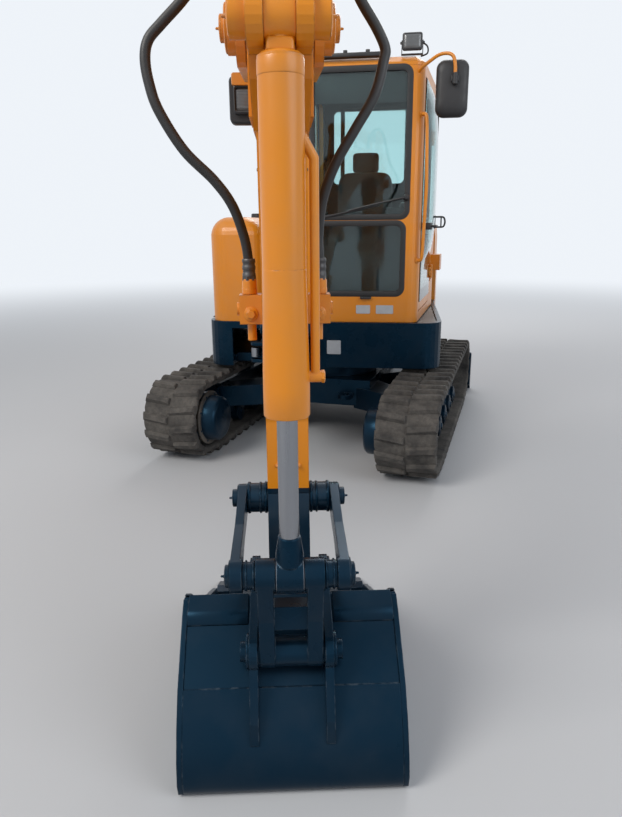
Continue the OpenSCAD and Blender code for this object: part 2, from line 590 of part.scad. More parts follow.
module grab_rail() color(orange) at_slew() translate([cab_corner_x, -cab_front + cab_r, 0]) rotate([0, 0, -40]) {
    for (z = [1300, 2200]) translate([cab_r + 0.2, 0, z]) rotate([0, 90, 0]) cylinder(r = 11, h = 42);
    translate([cab_r + 42, 0, 1289]) cylinder(r = 11, h = 922);
}
module side_mirror() color(dark) at_slew() {
    translate([cab_out_x - 66, -cab_front - 60, 2450]) rotate([-90, 0, 0]) cylinder(r = 10, h = 59.8);
    translate([cab_out_x - 66, -cab_front - 60, 2450]) rotate([0, 90, 0]) cylinder(r = 10, h = 240);
    translate([cab_out_x + 164, -cab_front - 60, 2250]) cylinder(r = 10, h = 210);
    hull() for (z = [2190, 2450]) for (x = [100, 230]) translate([cab_out_x + x, -cab_front - 92, z]) sphere(r = 34, $fn = 24);
}
module cab_lamp() color(dark) at_slew() {
    translate([cab_out_x - 110, -cab_front + 60, cab_top + 0.3]) cylinder(r = 12, h = 40);
    translate([cab_out_x - 165, -cab_front + 20, cab_top + 35]) cube([110, 70, 90]);
}
module side_box() color(orange) door_side() translate([0.3, door_y1 + 120, 1180]) cube([70, 160, 120]);

module swing_post() color(navy) front() {
    // Boss round the swing pin, between the frame's lugs
    translate([0, 0, lug_lo + lug_t + ear_gap]) cylinder(r = 92, h = lug_hi - lug_lo - lug_t - 2 * ear_gap);
    side(250) polygon([[20, lug_lo + lug_t + 1], [101, lug_lo + lug_t + 1], [112, lug_lo + 20],
        [150, lug_lo + 20], [150, 800], [100, 800], [98, lug_hi - 4], [20, lug_hi - 4]]);
    // Ears for the boom's foot
    for (s = [-1, 1]) side(34, s * (foot_in + 17)) polygon(concat([[135, 600], [200, 600]],
        arc(foot, 72, -20, 180, 14), [[110, 800], [110, 640]]));
    // Ears for the boom cylinder
    for (s = [-1, 1]) side(26, s * 53) polygon(concat([[130, 590]], arc(boom_ram_base, 56, -110, 100, 12),
        [[130, 730]]));
    translate([0, 0, lug_lo - 12]) cylinder(r = swing_pin_big, h = lug_hi + lug_t - lug_lo + 24);
    bar(foot, foot_pin_r, 2 * foot_out + 30);
    bar(boom_ram_base, ram_pin_r, 176);
    for (s = [-1, 1]) bar(boom_ram_base, 40, 22, s * 77);
    // Lever for the swing cylinder
    for (z = [lug_lo + lug_t + 6, lug_hi - 26]) translate([0, 0, z]) rotate([0, 0, -boom_yaw])
        linear_extrude(height = 20) polygon(concat([[0, -60], [0, 60]], arc([-swing_lever, 0], 36, 110, 250, 10)));
}
foot_pin_r = 34;
arm_pin_r = 34;
swing_ram_y = -swing_front + 860;
swing_ram_z = (lug_lo + lug_t + 26 + lug_hi - 26) / 2;
module swing_line() at_slew() translate([swing_x - swing_lever, 0, swing_ram_z]) children();
module swing_tube() color(dark) swing_line() translate([0, swing_ram_y, 0]) rotate([90, 0, 0]) rotate([0, 0, 90])
    tube(520, 40, 20, 34, 60, 50, swing_pin_r);
module swing_rod() color(steel) swing_line() translate([0, -swing_front, 0]) rotate([90, 0, 0]) rotate([0, 0, 90])
    rod(560, 20, 34, 60);

// The boom's centre line, as a curve from foot to arm pin
boom_line = [foot, [560, 1700], [1250, 2250], arm_pin];
boom_end = 80;
function boom_half(s) = s < 0.45 ? 92 + (boom_depth / 2 - 92) * sin(90 * s / 0.45) :
    boom_end + (boom_depth / 2 - boom_end) * cos(90 * (s - 0.45) / 0.55);
function boom_side(k, n) = [for (i = [0:n]) let (s = i / n) bez(boom_line, s) + k * boom_half(s) * left_of(bez_dir(boom_line, s))];
fork_slot = [[-200, -230], [200, -230], [200, 270], [-410, 270], [-400, 130], [-290, 90], [-290, -130]];
module boom() color(orange) front() {
    difference() {
        union() {
            side(boom_w) polygon(concat(boom_side(1, 20), rev(boom_side(-1, 20))));
            bar(foot, 92, 2 * (foot_in - ear_gap));
            // Fork round the arm pin
            for (s = [-1, 1]) side(fork_out - fork_in, s * (fork_in + fork_out) / 2) polygon(concat(
                [arm_pin + [-360, 130], arm_pin + [-360, -60]], arc(arm_pin, 98, -80, 90, 12)));
            for (s = [-1, 1]) bar(arm_pin, 64, fork_boss - fork_in, s * (fork_boss + fork_in) / 2);
            // Ears for the arm cylinder's base
            for (s = [-1, 1]) side(22, s * 49) polygon(concat(arc(arm_ram_base, 52, 0, 180, 12),
                [[960, 1900], [1300, 2000]]));
            for (s = [-1, 1]) bar(arm_ram_base, 40, 18, s * 69);
            // Ears for the boom cylinder's rod
            for (s = [-1, 1]) side(24, s * 51) polygon(concat([[830, 1560], [1120, 1760]], arc(boom_ram_eye, 56, 10, -150, 12)));
            for (s = [-1, 1]) bar(boom_ram_eye, 42, 20, s * 73);
        }
        // Slot for the arm between the fork's plates
        side(2 * fork_in) polygon([for (c = fork_slot) arm_pin + c]);
        bar(foot, foot_pin_r + fit, 400);
    }
    bar(arm_pin, arm_pin_r, 2 * fork_boss + 30);
    bar(arm_ram_base, ram_pin_r, 150);
    // Unions that the two hoses leave from
    for (s = [-1, 1]) translate([s * hose_start[0], -hose_start[1], hose_start[2] - 70]) cylinder(r = 19, h = 70);
}
module boom_lamp() color(dark) front() translate([-boom_w / 2 - seat_gap - 70, -1500, 1990]) {
    translate([30, 0, 20]) cube([40, 40, 30]);
    translate([0, -30, 0]) cube([60, 60, 76]);
}
boom_ram_len = span(boom_ram_base, boom_ram_eye);
module boom_tube() color(orange) front() along(boom_ram_base, boom_ram_eye) tube(610, 55, 29, 50, 79, 70, ram_pin_r);
module boom_rod() color(steel) front() translate([0, -boom_ram_eye[0], boom_ram_eye[1]])
    rotate([atan2(boom_ram_eye[0] - boom_ram_base[0], boom_ram_eye[1] - boom_ram_base[1]), 0, 0])
    rod(boom_ram_len - 420, 29, 50, 77);
arm_ram_len = span(arm_ram_base, arm_ram_eye);
module arm_tube() color(orange) front() along(arm_ram_base, arm_ram_eye) tube(860, 50, 27, 46, 75, 64, ram_pin_r);
module arm_rod() color(steel) front() translate([0, -arm_ram_eye[0], arm_ram_eye[1]])
    rotate([atan2(arm_ram_eye[0] - arm_ram_base[0], arm_ram_eye[1] - arm_ram_base[1]), 0, 0])
    rod(arm_ram_len - 580, 27, 46, 2 * (head_in - ear_gap));

arm_half = arm_w / 2;
module arm() {
    color(orange) arm_front() difference() {
        union() {
            side(arm_w) polygon([[-70, arm_pin_z - 100], [-105, 1700], [-96, 960], [-70, 730], [40, 730], [36, 960],
                [100, 1300], [152, 1620], [160, arm_pin_z - 240], [160, arm_pin_z - 100]]);
            // Head plates: arm pin, cylinder eye and bucket cylinder base
            for (s = [-1, 1]) side(head_out - head_in, s * (head_in + head_out) / 2) polygon(concat(
                arc(arm_top, 105, 200, 120, 6), arc(arm_eye, 58, 170, 0, 10), [[240, arm_pin_z + 120]],
                arc(bucket_ram_base, 60, 70, -110, 11), [[322, arm_pin_z - 134], [300, arm_pin_z - 180],
                [160, arm_pin_z - 270], [-90, arm_pin_z - 270]]));
            bar(arm_top, 92, 2 * (fork_in - ear_gap));
            side(arm_w + 40) polygon(concat(arc(arm_top, 100, 180, 0, 8), [[100, arm_pin_z - 230], [-90, arm_pin_z - 230]]));
            for (s = [-1, 1]) for (p = [arm_eye, bucket_ram_base])
                bar(p, 44, head_boss - head_out + 1, s * (head_boss + head_out) / 2);
        }
        bar(arm_top, arm_pin_r + fit, 400);
    }
    color(navy) arm_front() difference() {
        union() {
            side(arm_w) polygon([[-70, 729], [-62, 640], [0, 430], [70, 400], [100, 450], [75, 600], [40, 729]]);
            bar(bucket_pin, 54, 2 * (ear_in - ear_gap));
            for (s = [-1, 1]) bar(idler_pin, 46, link_in - ear_gap - arm_half + 1, s * (link_in - ear_gap + arm_half - 1) / 2);
        }
        bar(bucket_pin, bucket_pin_r + fit, 400);
    }
    color(navy) arm_front() bar(idler_pin, 28, 2 * (link_out + 16));
    color(navy) arm_front() bar(bucket_ram_base, ram_pin_r, 2 * head_boss - 8);
}
ear_in = 93;
ear_out = 118;
link_in = 130;
link_out = 156;
bucket_pin_r = 30;
link_pin_r = 28;
port_r = 9.5;
valve_z = 1297;
valve_w = 67;
module arm_valves() color(orange) arm_front() for (s = [-1, 1])
    translate([s * (arm_half + seat_gap + valve_w / 2), 0, valve_z]) difference() {
        union() {
            cube([valve_w, 62, 84], center = true);
            translate([s * 4, 0, 41]) cylinder(r = 21, h = 41);
            translate([0, 0, -92]) cylinder(r = 13, h = 52);
            rotate([0, s * 90, 0]) cylinder(r = 19, h = valve_w / 2 + port_collar);
        }
        translate([s * (valve_w / 2 + port_collar - 26), 0, 0]) rotate([0, s * 90, 0]) cylinder(r = port_r, h = 27);
    }
port_collar = 8;
bucket_ram_len = span(bucket_ram_base, rod_pin);
// Pipe along the bucket cylinder's tube to its rod end, each value along the tube from its base
pipe_side = 70.5;
pipe_r = 11;
pipe_top = 280;
pipe_end = 776;
module bucket_tube() color(orange) arm_front() along(bucket_ram_base, rod_pin) {
    tube(859, bucket_tube_d / 2, bucket_rod_d / 2, 52, 2 * (head_in - ear_gap), 76, ram_pin_r);
    translate([pipe_side, 0, pipe_top]) sphere(r = pipe_r, $fn = 24);
    translate([pipe_side, 0, pipe_top]) cylinder(r = pipe_r, h = pipe_end - pipe_top, $fn = 24);
    translate([pipe_side, 0, pipe_top]) rotate([0, 210, 0]) cylinder(r = pipe_r, h = 52, $fn = 24);
    translate([40, 0, pipe_end]) rotate([0, 90, 0]) cylinder(r = 14, h = 46, $fn = 24);
}
module bucket_rod() color(steel) arm_front() translate([0, -rod_pin[0], rod_pin[1]])
    rotate([atan2(rod_pin[0] - bucket_ram_base[0], rod_pin[1] - bucket_ram_base[1]), 0, 0])
    rod(bucket_ram_len - 390, bucket_rod_d / 2, 47, 72);

module link_plate(p, q, r, waist) polygon(concat(
    arc(p, r, atan2(q[1] - p[1], q[0] - p[0]) + 90, atan2(q[1] - p[1], q[0] - p[0]) + 270, 12),
    [(p + q) / 2 + waist * [(q - p)[1], -(q - p)[0]] / len2(q - p)],
    arc(q, r, atan2(p[1] - q[1], p[0] - q[0]) + 90, atan2(p[1] - q[1], p[0] - q[0]) + 270, 12),
    [(p + q) / 2 - waist * [(q - p)[1], -(q - p)[0]] / len2(q - p)]));
module idler_links() color(navy) arm_front() difference() {
    for (s = [-1, 1]) {
        side(link_out - link_in, s * (link_in + link_out) / 2) link_plate(idler_pin, rod_pin, 44, 30);
        bar(rod_pin, 44, 32, s * 140.5);
        bar(rod_pin, 30, 10, s * 161);
    }
    bar(idler_pin, 28 + fit, 400);
}
module bucket_link() color(navy) arm_front() difference() {
    union() {
        for (s = [-1, 1]) {
            side(42, s * 66) link_plate(rod_pin, link_pin, 44, 34);
            bar(rod_pin, 44, 52, s * 64.5);
            bar(rod_pin, 36, 33, s * 107);
        }
        bar(link_pin, 42, 2 * (ear_in - ear_gap));
        translate([0, -(rod_pin[0] + link_pin[0]) / 2, (rod_pin[1] + link_pin[1]) / 2]) cube([120, 50, 70], center = true);
    }
    bar(link_pin, link_pin_r + fit, 300);
}

// The bucket's outline from its top edge, over the back, round the heel and along the floor
bucket_back = [[160, 450], [210, 412], [358, 272], [410, 190], [444, 110], [457, 50], [447, 14], [412, 0], [-550, 0]];
// A line of points moved to its right by g
function inset(p, g) = [for (i = [0:len(p) - 1]) p[i] - g * left_of(p[min(i + 1, len(p) - 1)] - p[max(i - 1, 0)])];
module bucket() color(navy) arm_front() {
    difference() {
        side(bucket_w) polygon(concat(bucket_back, [[-550, 40], [-500, 90], [-60, 290], [130, 430]]));
        side(bucket_w - 2 * bucket_plate) polygon(concat(inset(bucket_back, bucket_plate),
            [[-560, bucket_plate], [-560, 600], [140, 600], [145, 440]]));
    }
    // Lip and teeth
    side(bucket_w) polygon([[-640, 4], [-550, 0], [-480, 0], [-480, 30], [-550, 30]]);
    for (i = [-2:2]) side(54, i * (bucket_w - 70) / 4) polygon([[-700, 6], [-600, 0], [-550, 0], [-550, 44], [-600, 44]]);
    // Ears that run down the back as ribs
    for (s = [-1, 1]) side(ear_out - ear_in, s * (ear_in + ear_out) / 2) polygon(concat(
        arc(bucket_pin, 62, 200, 60, 8), arc(link_pin, 54, 70, -30, 8),
        [[430, 214], [438, 150], [418, 150], [352, 258], [204, 404], [156, 436], [80, 400]]));
    bar(bucket_pin, bucket_pin_r, 2 * ear_out);
    bar(link_pin, link_pin_r, 2 * ear_out + 50);
}

// Hoses over the arm pin; each point is [to the side, forward, height]
hose_r = 14;
hose_start = [60, 1980, 2225];
hose_right_pts = [
    [-60, 1980, 2225], [-61, 1982, 2280], [-76, 2010, 2345], [-100, 2080, 2402], [-125, 2180, 2425],
    [-143, 2280, 2390], [-158, 2350, 2305], [-178, 2390, 2215], [-208, 2408, 2145], [-249, 2420, 2090],
    [-304, 2430, 2034], [-339, 2436, 1995], [-350, 2440, 1950], [-343, 2444, 1890], [-322, 2447, 1824],
    [-262, 2446, 1726], [-186, 2436, 1650], [-140, 2424, 1584], [-113, 2408, 1504], [-103, 2401, 1440],
    [-101.8, 2400, 1380]];
hose_left_pts = [
    [60, 1980, 2225], [61, 1982, 2280], [76, 2010, 2345], [100, 2080, 2402], [125, 2180, 2425],
    [143, 2280, 2390], [158, 2350, 2305], [172, 2390, 2215], [188, 2408, 2145], [212, 2420, 2090],
    [252, 2432, 2024], [274, 2438, 1976], [271, 2440, 1945], [248, 2444, 1862], [196, 2446, 1776],
    [143, 2440, 1688], [110, 2424, 1597], [99, 2406, 1504], [101, 2401, 1440], [101.8, 2400, 1380]];
function unit3(v) = v / norm(v);
function pt3(p) = [p[0], -p[1], p[2]];
function catmull(a, b, c, d, u) = 0.5 * (2 * b + (c - a) * u + (2 * a - 5 * b + 4 * c - d) * u * u + (3 * b - a - 3 * c + d) * u * u * u);
function smooth(p, k) = [for (i = [0:len(p) - 2]) for (j = [0:k - 1])
    catmull(p[max(i - 1, 0)], p[i], p[i + 1], p[min(i + 2, len(p) - 1)], j / k), p[len(p) - 1]];
module sweep(path, r, n) {
    m = len(path);
    dirs = [for (i = [0:m - 1]) unit3(path[min(i + 1, m - 1)] - path[max(i - 1, 0)])];
    ring = [for (i = [0:m - 1]) let (a = unit3(cross(dirs[i], [0, 1, 0.2])), b = cross(dirs[i], a))
        for (j = [0:n - 1]) path[i] + r * (cos(360 * j / n) * a + sin(360 * j / n) * b)];
    polyhedron(points = ring, faces = concat([[for (j = [0:n - 1]) j]], [[for (j = [n - 1:-1:0]) (m - 1) * n + j]],
        [for (i = [0:m - 2]) for (j = [0:n - 1]) [i * n + j, (i + 1) * n + j, (i + 1) * n + (j + 1) % n, i * n + (j + 1) % n]]));
}
module hose_right() color(dark) front() sweep(smooth([for (p = hose_right_pts) pt3(p)], 4), hose_r, 8);
module hose_left() color(dark) front() sweep(smooth([for (p = hose_left_pts) pt3(p)], 4), hose_r, 8);

car_body();
track_frames();
tracks();
sprockets();
idlers();
blade();
blade_tube();
blade_rod();
main_frame();
skirt();
counterweight();
engine();
firewall();
engine_hood();
tank_cover();
cab_shell();
cab_roof();
cab_glass();
cab_floor();
seat();
consoles();
door_frame();
door_glass();
grab_rail();
side_mirror();
cab_lamp();
side_box();
swing_post();
swing_tube();
swing_rod();
boom();
boom_lamp();
boom_tube();
boom_rod();
arm_tube();
arm_rod();
arm();
arm_valves();
bucket_tube();
bucket_rod();
idler_links();
bucket_link();
bucket();
hose_right();
hose_left();
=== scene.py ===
"""Looks of a compact crawler excavator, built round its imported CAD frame. Shapes are drawn in mm."""
import json
import math

import bpy
import bmesh
from mathutils import Matrix, Vector


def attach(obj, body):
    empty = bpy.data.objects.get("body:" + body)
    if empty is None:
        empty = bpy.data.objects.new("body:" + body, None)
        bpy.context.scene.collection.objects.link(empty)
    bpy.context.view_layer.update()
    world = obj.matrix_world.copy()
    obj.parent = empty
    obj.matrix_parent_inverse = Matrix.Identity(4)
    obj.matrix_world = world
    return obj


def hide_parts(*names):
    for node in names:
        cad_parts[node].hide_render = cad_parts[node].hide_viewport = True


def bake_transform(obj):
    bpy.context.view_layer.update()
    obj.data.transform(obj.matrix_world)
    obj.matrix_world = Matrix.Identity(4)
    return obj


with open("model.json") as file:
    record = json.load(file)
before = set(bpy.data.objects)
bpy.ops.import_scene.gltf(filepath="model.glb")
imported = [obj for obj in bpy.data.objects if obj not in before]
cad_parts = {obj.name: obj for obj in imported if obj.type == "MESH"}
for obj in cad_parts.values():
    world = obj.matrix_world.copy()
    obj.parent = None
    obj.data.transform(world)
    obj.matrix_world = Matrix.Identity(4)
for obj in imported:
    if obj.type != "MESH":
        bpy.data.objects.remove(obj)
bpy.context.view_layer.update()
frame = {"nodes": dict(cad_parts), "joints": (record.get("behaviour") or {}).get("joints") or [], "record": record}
NODES = frame["nodes"]
JOINTS = {j["name"]: j for j in frame["joints"]}
MM = 0.001

# The boom's plane and the tracks' frame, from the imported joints
SLEW = Vector((*JOINTS["slew"]["pos_m"][:2], 0.0))
SWING = Vector((*JOINTS["boom_swing"]["pos_m"][:2], 0.0))
BOOM_SIDE = Vector(JOINTS["arm_turn"]["axis"])
BOOM_AHEAD = Vector((BOOM_SIDE.y, -BOOM_SIDE.x, 0.0))
TRACK_SIDE = Vector(JOINTS["blade_lift"]["axis"])
TRACK_BACK = Vector((-TRACK_SIDE.y, TRACK_SIDE.x, 0.0))
X, Y, Z = (Vector(row) for row in Matrix.Identity(3))


def front(w, t, z):
    """A point in the boom's plane, in mm: w to the cab's side, t ahead of the swing pin, z up."""
    return SWING + (BOOM_SIDE * w + BOOM_AHEAD * t + Z * z) * MM


def upper(x, y, z):
    """A point of the upper structure, in mm from the slewing axis."""
    return SLEW + Vector((x, y, z)) * MM


# Camera

PHOTO_W, PHOTO_H = 622, 817
FOCAL_PX = 660.0
CAMERA_PLACE = (505.0, -5059.0, 1530.0)
CAMERA_TURN = 7.74
CAMERA_DOWN = 15.5
CAMERA_ROLL = -0.5


def make_camera():
    data = bpy.data.cameras.new("camera")
    data.sensor_width = 36.0
    data.lens = FOCAL_PX / max(PHOTO_W, PHOTO_H) * data.sensor_width
    cam = bpy.data.objects.new("camera", data)
    bpy.context.scene.collection.objects.link(cam)
    cam.location = upper(*CAMERA_PLACE)
    turn = Matrix.Rotation(math.radians(CAMERA_TURN), 4, "Z")
    tilt = Matrix.Rotation(math.radians(90 - CAMERA_DOWN), 4, "X")
    roll = Matrix.Rotation(math.radians(CAMERA_ROLL), 4, "Z")
    cam.rotation_euler = (turn @ tilt @ roll).to_euler()
    bpy.context.scene.camera = cam


make_camera()


# Node helpers

def feed(tree, made, inputs):
    """Links sockets and sets values on a node's own inputs; a colour gets its alpha."""
    for key, value in inputs.items():
        socket = made.inputs[key]
        if isinstance(value, bpy.types.NodeSocket):
            tree.links.new(value, socket)
        else:
            socket.default_value = (*value, 1.0) if socket.type == "RGBA" and len(value) == 3 else value


def node(tree, kind, inputs=None, **settings):
    made = tree.nodes.new("ShaderNode" + kind)
    for key, value in settings.items():
        setattr(made, key, value)
    feed(tree, made, inputs or {})
    return made


def blank(name):
    mat = bpy.data.materials.new(name)
    mat.use_nodes = True
    return mat, mat.node_tree, mat.node_tree.nodes["Principled BSDF"]


def place(tree):
    return tree.nodes.get("Texture Coordinate") or node(tree, "TexCoord")


def noise(tree, scale, detail=4.0, rough=0.55, stretch=None):
    vector = place(tree).outputs["Object"]
    if stretch:
        vector = node(tree, "Mapping", {"Vector": vector, "Scale": stretch}).outputs[0]
    return node(tree, "TexNoise", {"Vector": vector, "Scale": scale, "Detail": detail,
                                   "Roughness": rough}).outputs["Fac"]


def ramp(tree, value, low, high, to_low=0.0, to_high=1.0):
    return node(tree, "MapRange", {"Value": value, "From Min": low, "From Max": high,
                                   "To Min": to_low, "To Max": to_high}).outputs[0]


def times(tree, a, b, how="MULTIPLY"):
    return node(tree, "Math", {0: a, 1: b}, operation=how).outputs[0]


def mixed(tree, share, a, b):
    return node(tree, "Mix", {0: share, 6: a, 7: b}, data_type="RGBA").outputs[2]


def upness(tree):
    """How far a surface faces up, from the object's own normal."""
    return node(tree, "SeparateXYZ", {0: place(tree).outputs["Normal"]}).outputs["Z"]


def height(tree):
    return node(tree, "SeparateXYZ", {0: place(tree).outputs["Object"]}).outputs["Z"]


def set_bump(tree, shader, value, strength, distance, normal=None):
    inputs = {"Height": value, "Strength": strength, "Distance": distance}
    if normal is not None:
        inputs["Normal"] = normal
    feed(tree, shader, {"Normal": node(tree, "Bump", inputs).outputs[0]})


DUST = (0.32, 0.27, 0.215)
CHIP_EDGE = 0.005


def paint(name, colour, rough=0.34, dust=0.14, chips=0.5, chip_colour=(0.05, 0.045, 0.04), coat=0.15,
          below=None, gloss=0.5, tint=None):
    """Sprayed paint that is dusty on top and low down, chipped along its edges, with a slight orange peel.

    below is (height, colour) of a second coat under that height, which alone then has the tint."""
    mat, tree, shader = blank(name)
    rounded = node(tree, "Bevel", {"Radius": CHIP_EDGE}, samples=4).outputs[0]
    facing = node(tree, "VectorMath", {0: rounded, 1: node(tree, "NewGeometry").outputs["Normal"]},
                  operation="DOT_PRODUCT").outputs["Value"]
    edges = ramp(tree, facing, 0.995, 0.93)
    blotch = noise(tree, 1.3, 3.0)
    if below:
        under = times(tree, height(tree), below[0], "LESS_THAN")
        colour = mixed(tree, under, colour, below[1])
        tone = mixed(tree, ramp(tree, blotch, 0.3, 0.7, 0.1, 0.0), colour, (0.0, 0.0, 0.0))
        tint = mixed(tree, under, (1.0, 1.0, 1.0), tint)
    else:
        dark, light = [c * 0.9 for c in colour], [min(1, c * 1.06) for c in colour]
        tone = mixed(tree, ramp(tree, blotch, 0.3, 0.7), dark, light)
    grime = ramp(tree, noise(tree, 7.0, 6.0), 0.42, 0.72)
    low = ramp(tree, height(tree), 0.9, 0.05)
    top = ramp(tree, upness(tree), 0.35, 0.95)
    cover = times(tree, times(tree, top, low, "MAXIMUM"), ramp(tree, noise(tree, 2.6, 5.0), 0.3, 0.75))
    dusty = times(tree, times(tree, cover, grime, "ADD"), dust)
    dusty = node(tree, "Clamp", {0: times(tree, dusty, 0.75)}).outputs[0]
    tone = mixed(tree, dusty, tone, DUST)
    chipped = times(tree, times(tree, edges, ramp(tree, noise(tree, 34.0, 5.0), 0.5, 0.62)), chips)
    feed(tree, shader, {"Base Color": mixed(tree, chipped, tone, chip_colour), "Coat Weight": coat,
                        "Roughness": ramp(tree, dusty, 0.0, 0.6, rough, 0.8), "Coat Roughness": 0.12,
                        "Specular IOR Level": gloss, "Specular Tint": tint or (1.0, 1.0, 1.0)})
    set_bump(tree, shader, noise(tree, 220.0, 2.0), 0.06, 0.0006, rounded)
    return mat


def plain(name, colour, rough, grain, bump, metallic=0.0, variation=0.2, dust=0.15):
    mat, tree, shader = blank(name)
    dark, light = [c * (1 - variation) for c in colour], [min(1, c * (1 + variation)) for c in colour]
    tone = mixed(tree, ramp(tree, noise(tree, 9.0, 5.0), 0.3, 0.75), dark, light)
    cover = times(tree, ramp(tree, upness(tree), 0.2, 0.95), ramp(tree, noise(tree, 5.0, 5.0), 0.35, 0.7))
    worn = ramp(tree, noise(tree, 22.0), 0.3, 0.7, rough * 0.85, min(1, rough * 1.15))
    feed(tree, shader, {"Base Color": mixed(tree, times(tree, cover, dust), tone, DUST), "Roughness": worn,
                        "Metallic": metallic})
    set_bump(tree, shader, noise(tree, grain, 5.0), bump, 0.001)
    return mat


def track_rubber():
    """Worn rubber: dark, with patches of pale dried dust spread by noise."""
    mat, tree, shader = blank("track_rubber")
    patch = ramp(tree, noise(tree, 5.5, 7.0, 0.65), 0.34, 0.66)
    fine = ramp(tree, noise(tree, 48.0, 6.0, 0.7), 0.3, 0.7)
    base = mixed(tree, patch, (0.027, 0.026, 0.026), (0.082, 0.076, 0.07))
    base = mixed(tree, times(tree, times(tree, fine, patch), 0.55), base, (0.185, 0.168, 0.15))
    feed(tree, shader, {"Base Color": base, "Roughness": 0.86, "Specular IOR Level": 0.3})
    set_bump(tree, shader, times(tree, fine, patch, "ADD"), 0.5, 0.004)
    return mat


def chrome():
    """Hard chrome with fine scores along its length."""
    mat, tree, shader = blank("chrome_rod")
    scores = noise(tree, 3.0, 3.0, 0.5, (9.0, 9.0, 0.6))
    worn = noise(tree, 10.0, 3.0, 0.5, (8.0, 8.0, 0.5))
    feed(tree, shader, {"Base Color": mixed(tree, scores, (0.25, 0.26, 0.28), (0.34, 0.35, 0.375)),
                        "Metallic": 1.0, "Roughness": ramp(tree, worn, 0.3, 0.7, 0.2, 0.3)})
    return mat


def glass(name, colour):
    mat, tree, shader = blank(name)
    feed(tree, shader, {"Base Color": colour, "Transmission Weight": 1.0, "IOR": 1.45,
                        "Roughness": ramp(tree, noise(tree, 3.0, 6.0), 0.45, 0.8, 0.01, 0.12)})
    return mat


def cloth():
    mat, tree, shader = blank("seat_cloth")
    at = place(tree).outputs["Object"]
    weave = node(tree, "TexWave", {"Vector": at, "Scale": 160.0, "Distortion": 1.5}).outputs["Fac"]
    feed(tree, shader, {"Base Color": mixed(tree, weave, (0.02, 0.021, 0.024), (0.05, 0.052, 0.058)),
                        "Roughness": 0.9, "Sheen Weight": 0.3})
    set_bump(tree, shader, weave, 0.4, 0.001)
    return mat


ORANGE = (0.70, 0.232, 0.004)
NAVY = (0.001, 0.0095, 0.021)
NAVY_TINT = (0.22, 0.6, 1.0)
MATS = {
    "orange_paint": paint("orange_paint", ORANGE),
    "arm_paint": paint("arm_paint", ORANGE, dust=0.06, below=(0.747, NAVY), tint=NAVY_TINT, gloss=0.4),
    "navy_paint": paint("navy_paint", NAVY, rough=0.27, dust=0.022, chips=0.7, chip_colour=(0.08, 0.1, 0.12),
                        coat=0.0, gloss=0.3, tint=NAVY_TINT),
    "black_metal": paint("black_metal", (0.012, 0.012, 0.014), rough=0.42, dust=0.3,
                         chip_colour=(0.14, 0.13, 0.12)),
    "black_plastic": plain("black_plastic", (0.018, 0.018, 0.02), 0.5, 140.0, 0.15),
    "track_rubber": track_rubber(),
    "hose_rubber": plain("hose_rubber", (0.016, 0.016, 0.017), 0.48, 90.0, 0.2, dust=0.3),
    "chrome_rod": chrome(),
    "clear_glass": glass("clear_glass", (0.67, 0.87, 0.87)),
    "seat_cloth": cloth(),
    "bare_iron": plain("bare_iron", (0.05, 0.045, 0.04), 0.75, 40.0, 0.4, 0.3),
    "seal": plain("seal_rubber", (0.012, 0.012, 0.013), 0.55, 120.0, 0.1, dust=0.12),
    "zinc": plain("zinc_steel", (0.34, 0.33, 0.31), 0.42, 150.0, 0.12, 0.9, 0.25, 0.1),
    "plate": plain("plate_grey", (0.42, 0.44, 0.47), 0.5, 200.0, 0.05, 0.0, 0.12, 0.1),
    "mirror": plain("mirror_face", (0.72, 0.74, 0.76), 0.06, 8.0, 0.0, 1.0, 0.03, 0.05),
    "lens": plain("lamp_lens", (0.16, 0.165, 0.17), 0.2, 80.0, 0.1, 0.3, 0.2, 0.05),
    "fitting": plain("fitting_steel", (0.085, 0.085, 0.088), 0.45, 120.0, 0.15, 0.7, 0.3, 0.25),
    "red_lens": plain("red_lens", (0.35, 0.008, 0.006), 0.12, 90.0, 0.1, 0.0, 0.1, 0.05),
    "lining": plain("cab_lining", (0.012, 0.016, 0.02), 0.7, 260.0, 0.3, 0.0, 0.2, 0.12),
}
OTHER_FINISH = {"arm": "arm_paint"}


def dress_nodes():
    """Every CAD node takes the finish of its material slot."""
    slot_of = {p["node"]: p["material_slot"] for p in frame["record"]["subparts"]}
    for name, obj in NODES.items():
        obj.data.materials.clear()
        obj.data.materials.append(MATS[OTHER_FINISH.get(name, slot_of[name])])


dress_nodes()


# Shapes

def frame_matrix(at, x, y):
    rows = ((x.x, y.x, 0, at.x), (x.y, y.y, 0, at.y), (0, 0, 1, at.z), (0, 0, 0, 1))
    return Matrix(rows) @ Matrix.Scale(MM, 4)


DOOR_LEAN = math.radians(7.5)
DOOR_OUT = Vector((math.cos(DOOR_LEAN), -math.sin(DOOR_LEAN), 0))
UPPER = frame_matrix(SLEW, X, Y)
DOOR = frame_matrix(upper(615, -530, 0), DOOR_OUT, Z.cross(DOOR_OUT))
UNDER = frame_matrix(SLEW, TRACK_SIDE, TRACK_BACK)
FRONT = frame_matrix(SWING, BOOM_SIDE, BOOM_AHEAD)

# Pins in the boom's plane, as [ahead, up]
BOOM_FOOT, BOOM_RAM_FOOT, BOOM_RAM_EYE = (210, 905), (345, 650), (1005, 1447)
ARM_PIN, ARM_RAM_FOOT = (2400, 2030), (1120, 2300)
# Pins on the arm, ahead of the arm's own pin
ARM_TAIL, BUCKET_RAM_FOOT, BUCKET_RAM_EYE = (117, 2391), (385, 1954), (385, 645)
IDLER_PIN, LINK_PIN, BUCKET_PIN = (-5, 700), (335, 380), (60, 460)
ARM = frame_matrix(front(0, ARM_PIN[0], 0), BOOM_SIDE, BOOM_AHEAD)


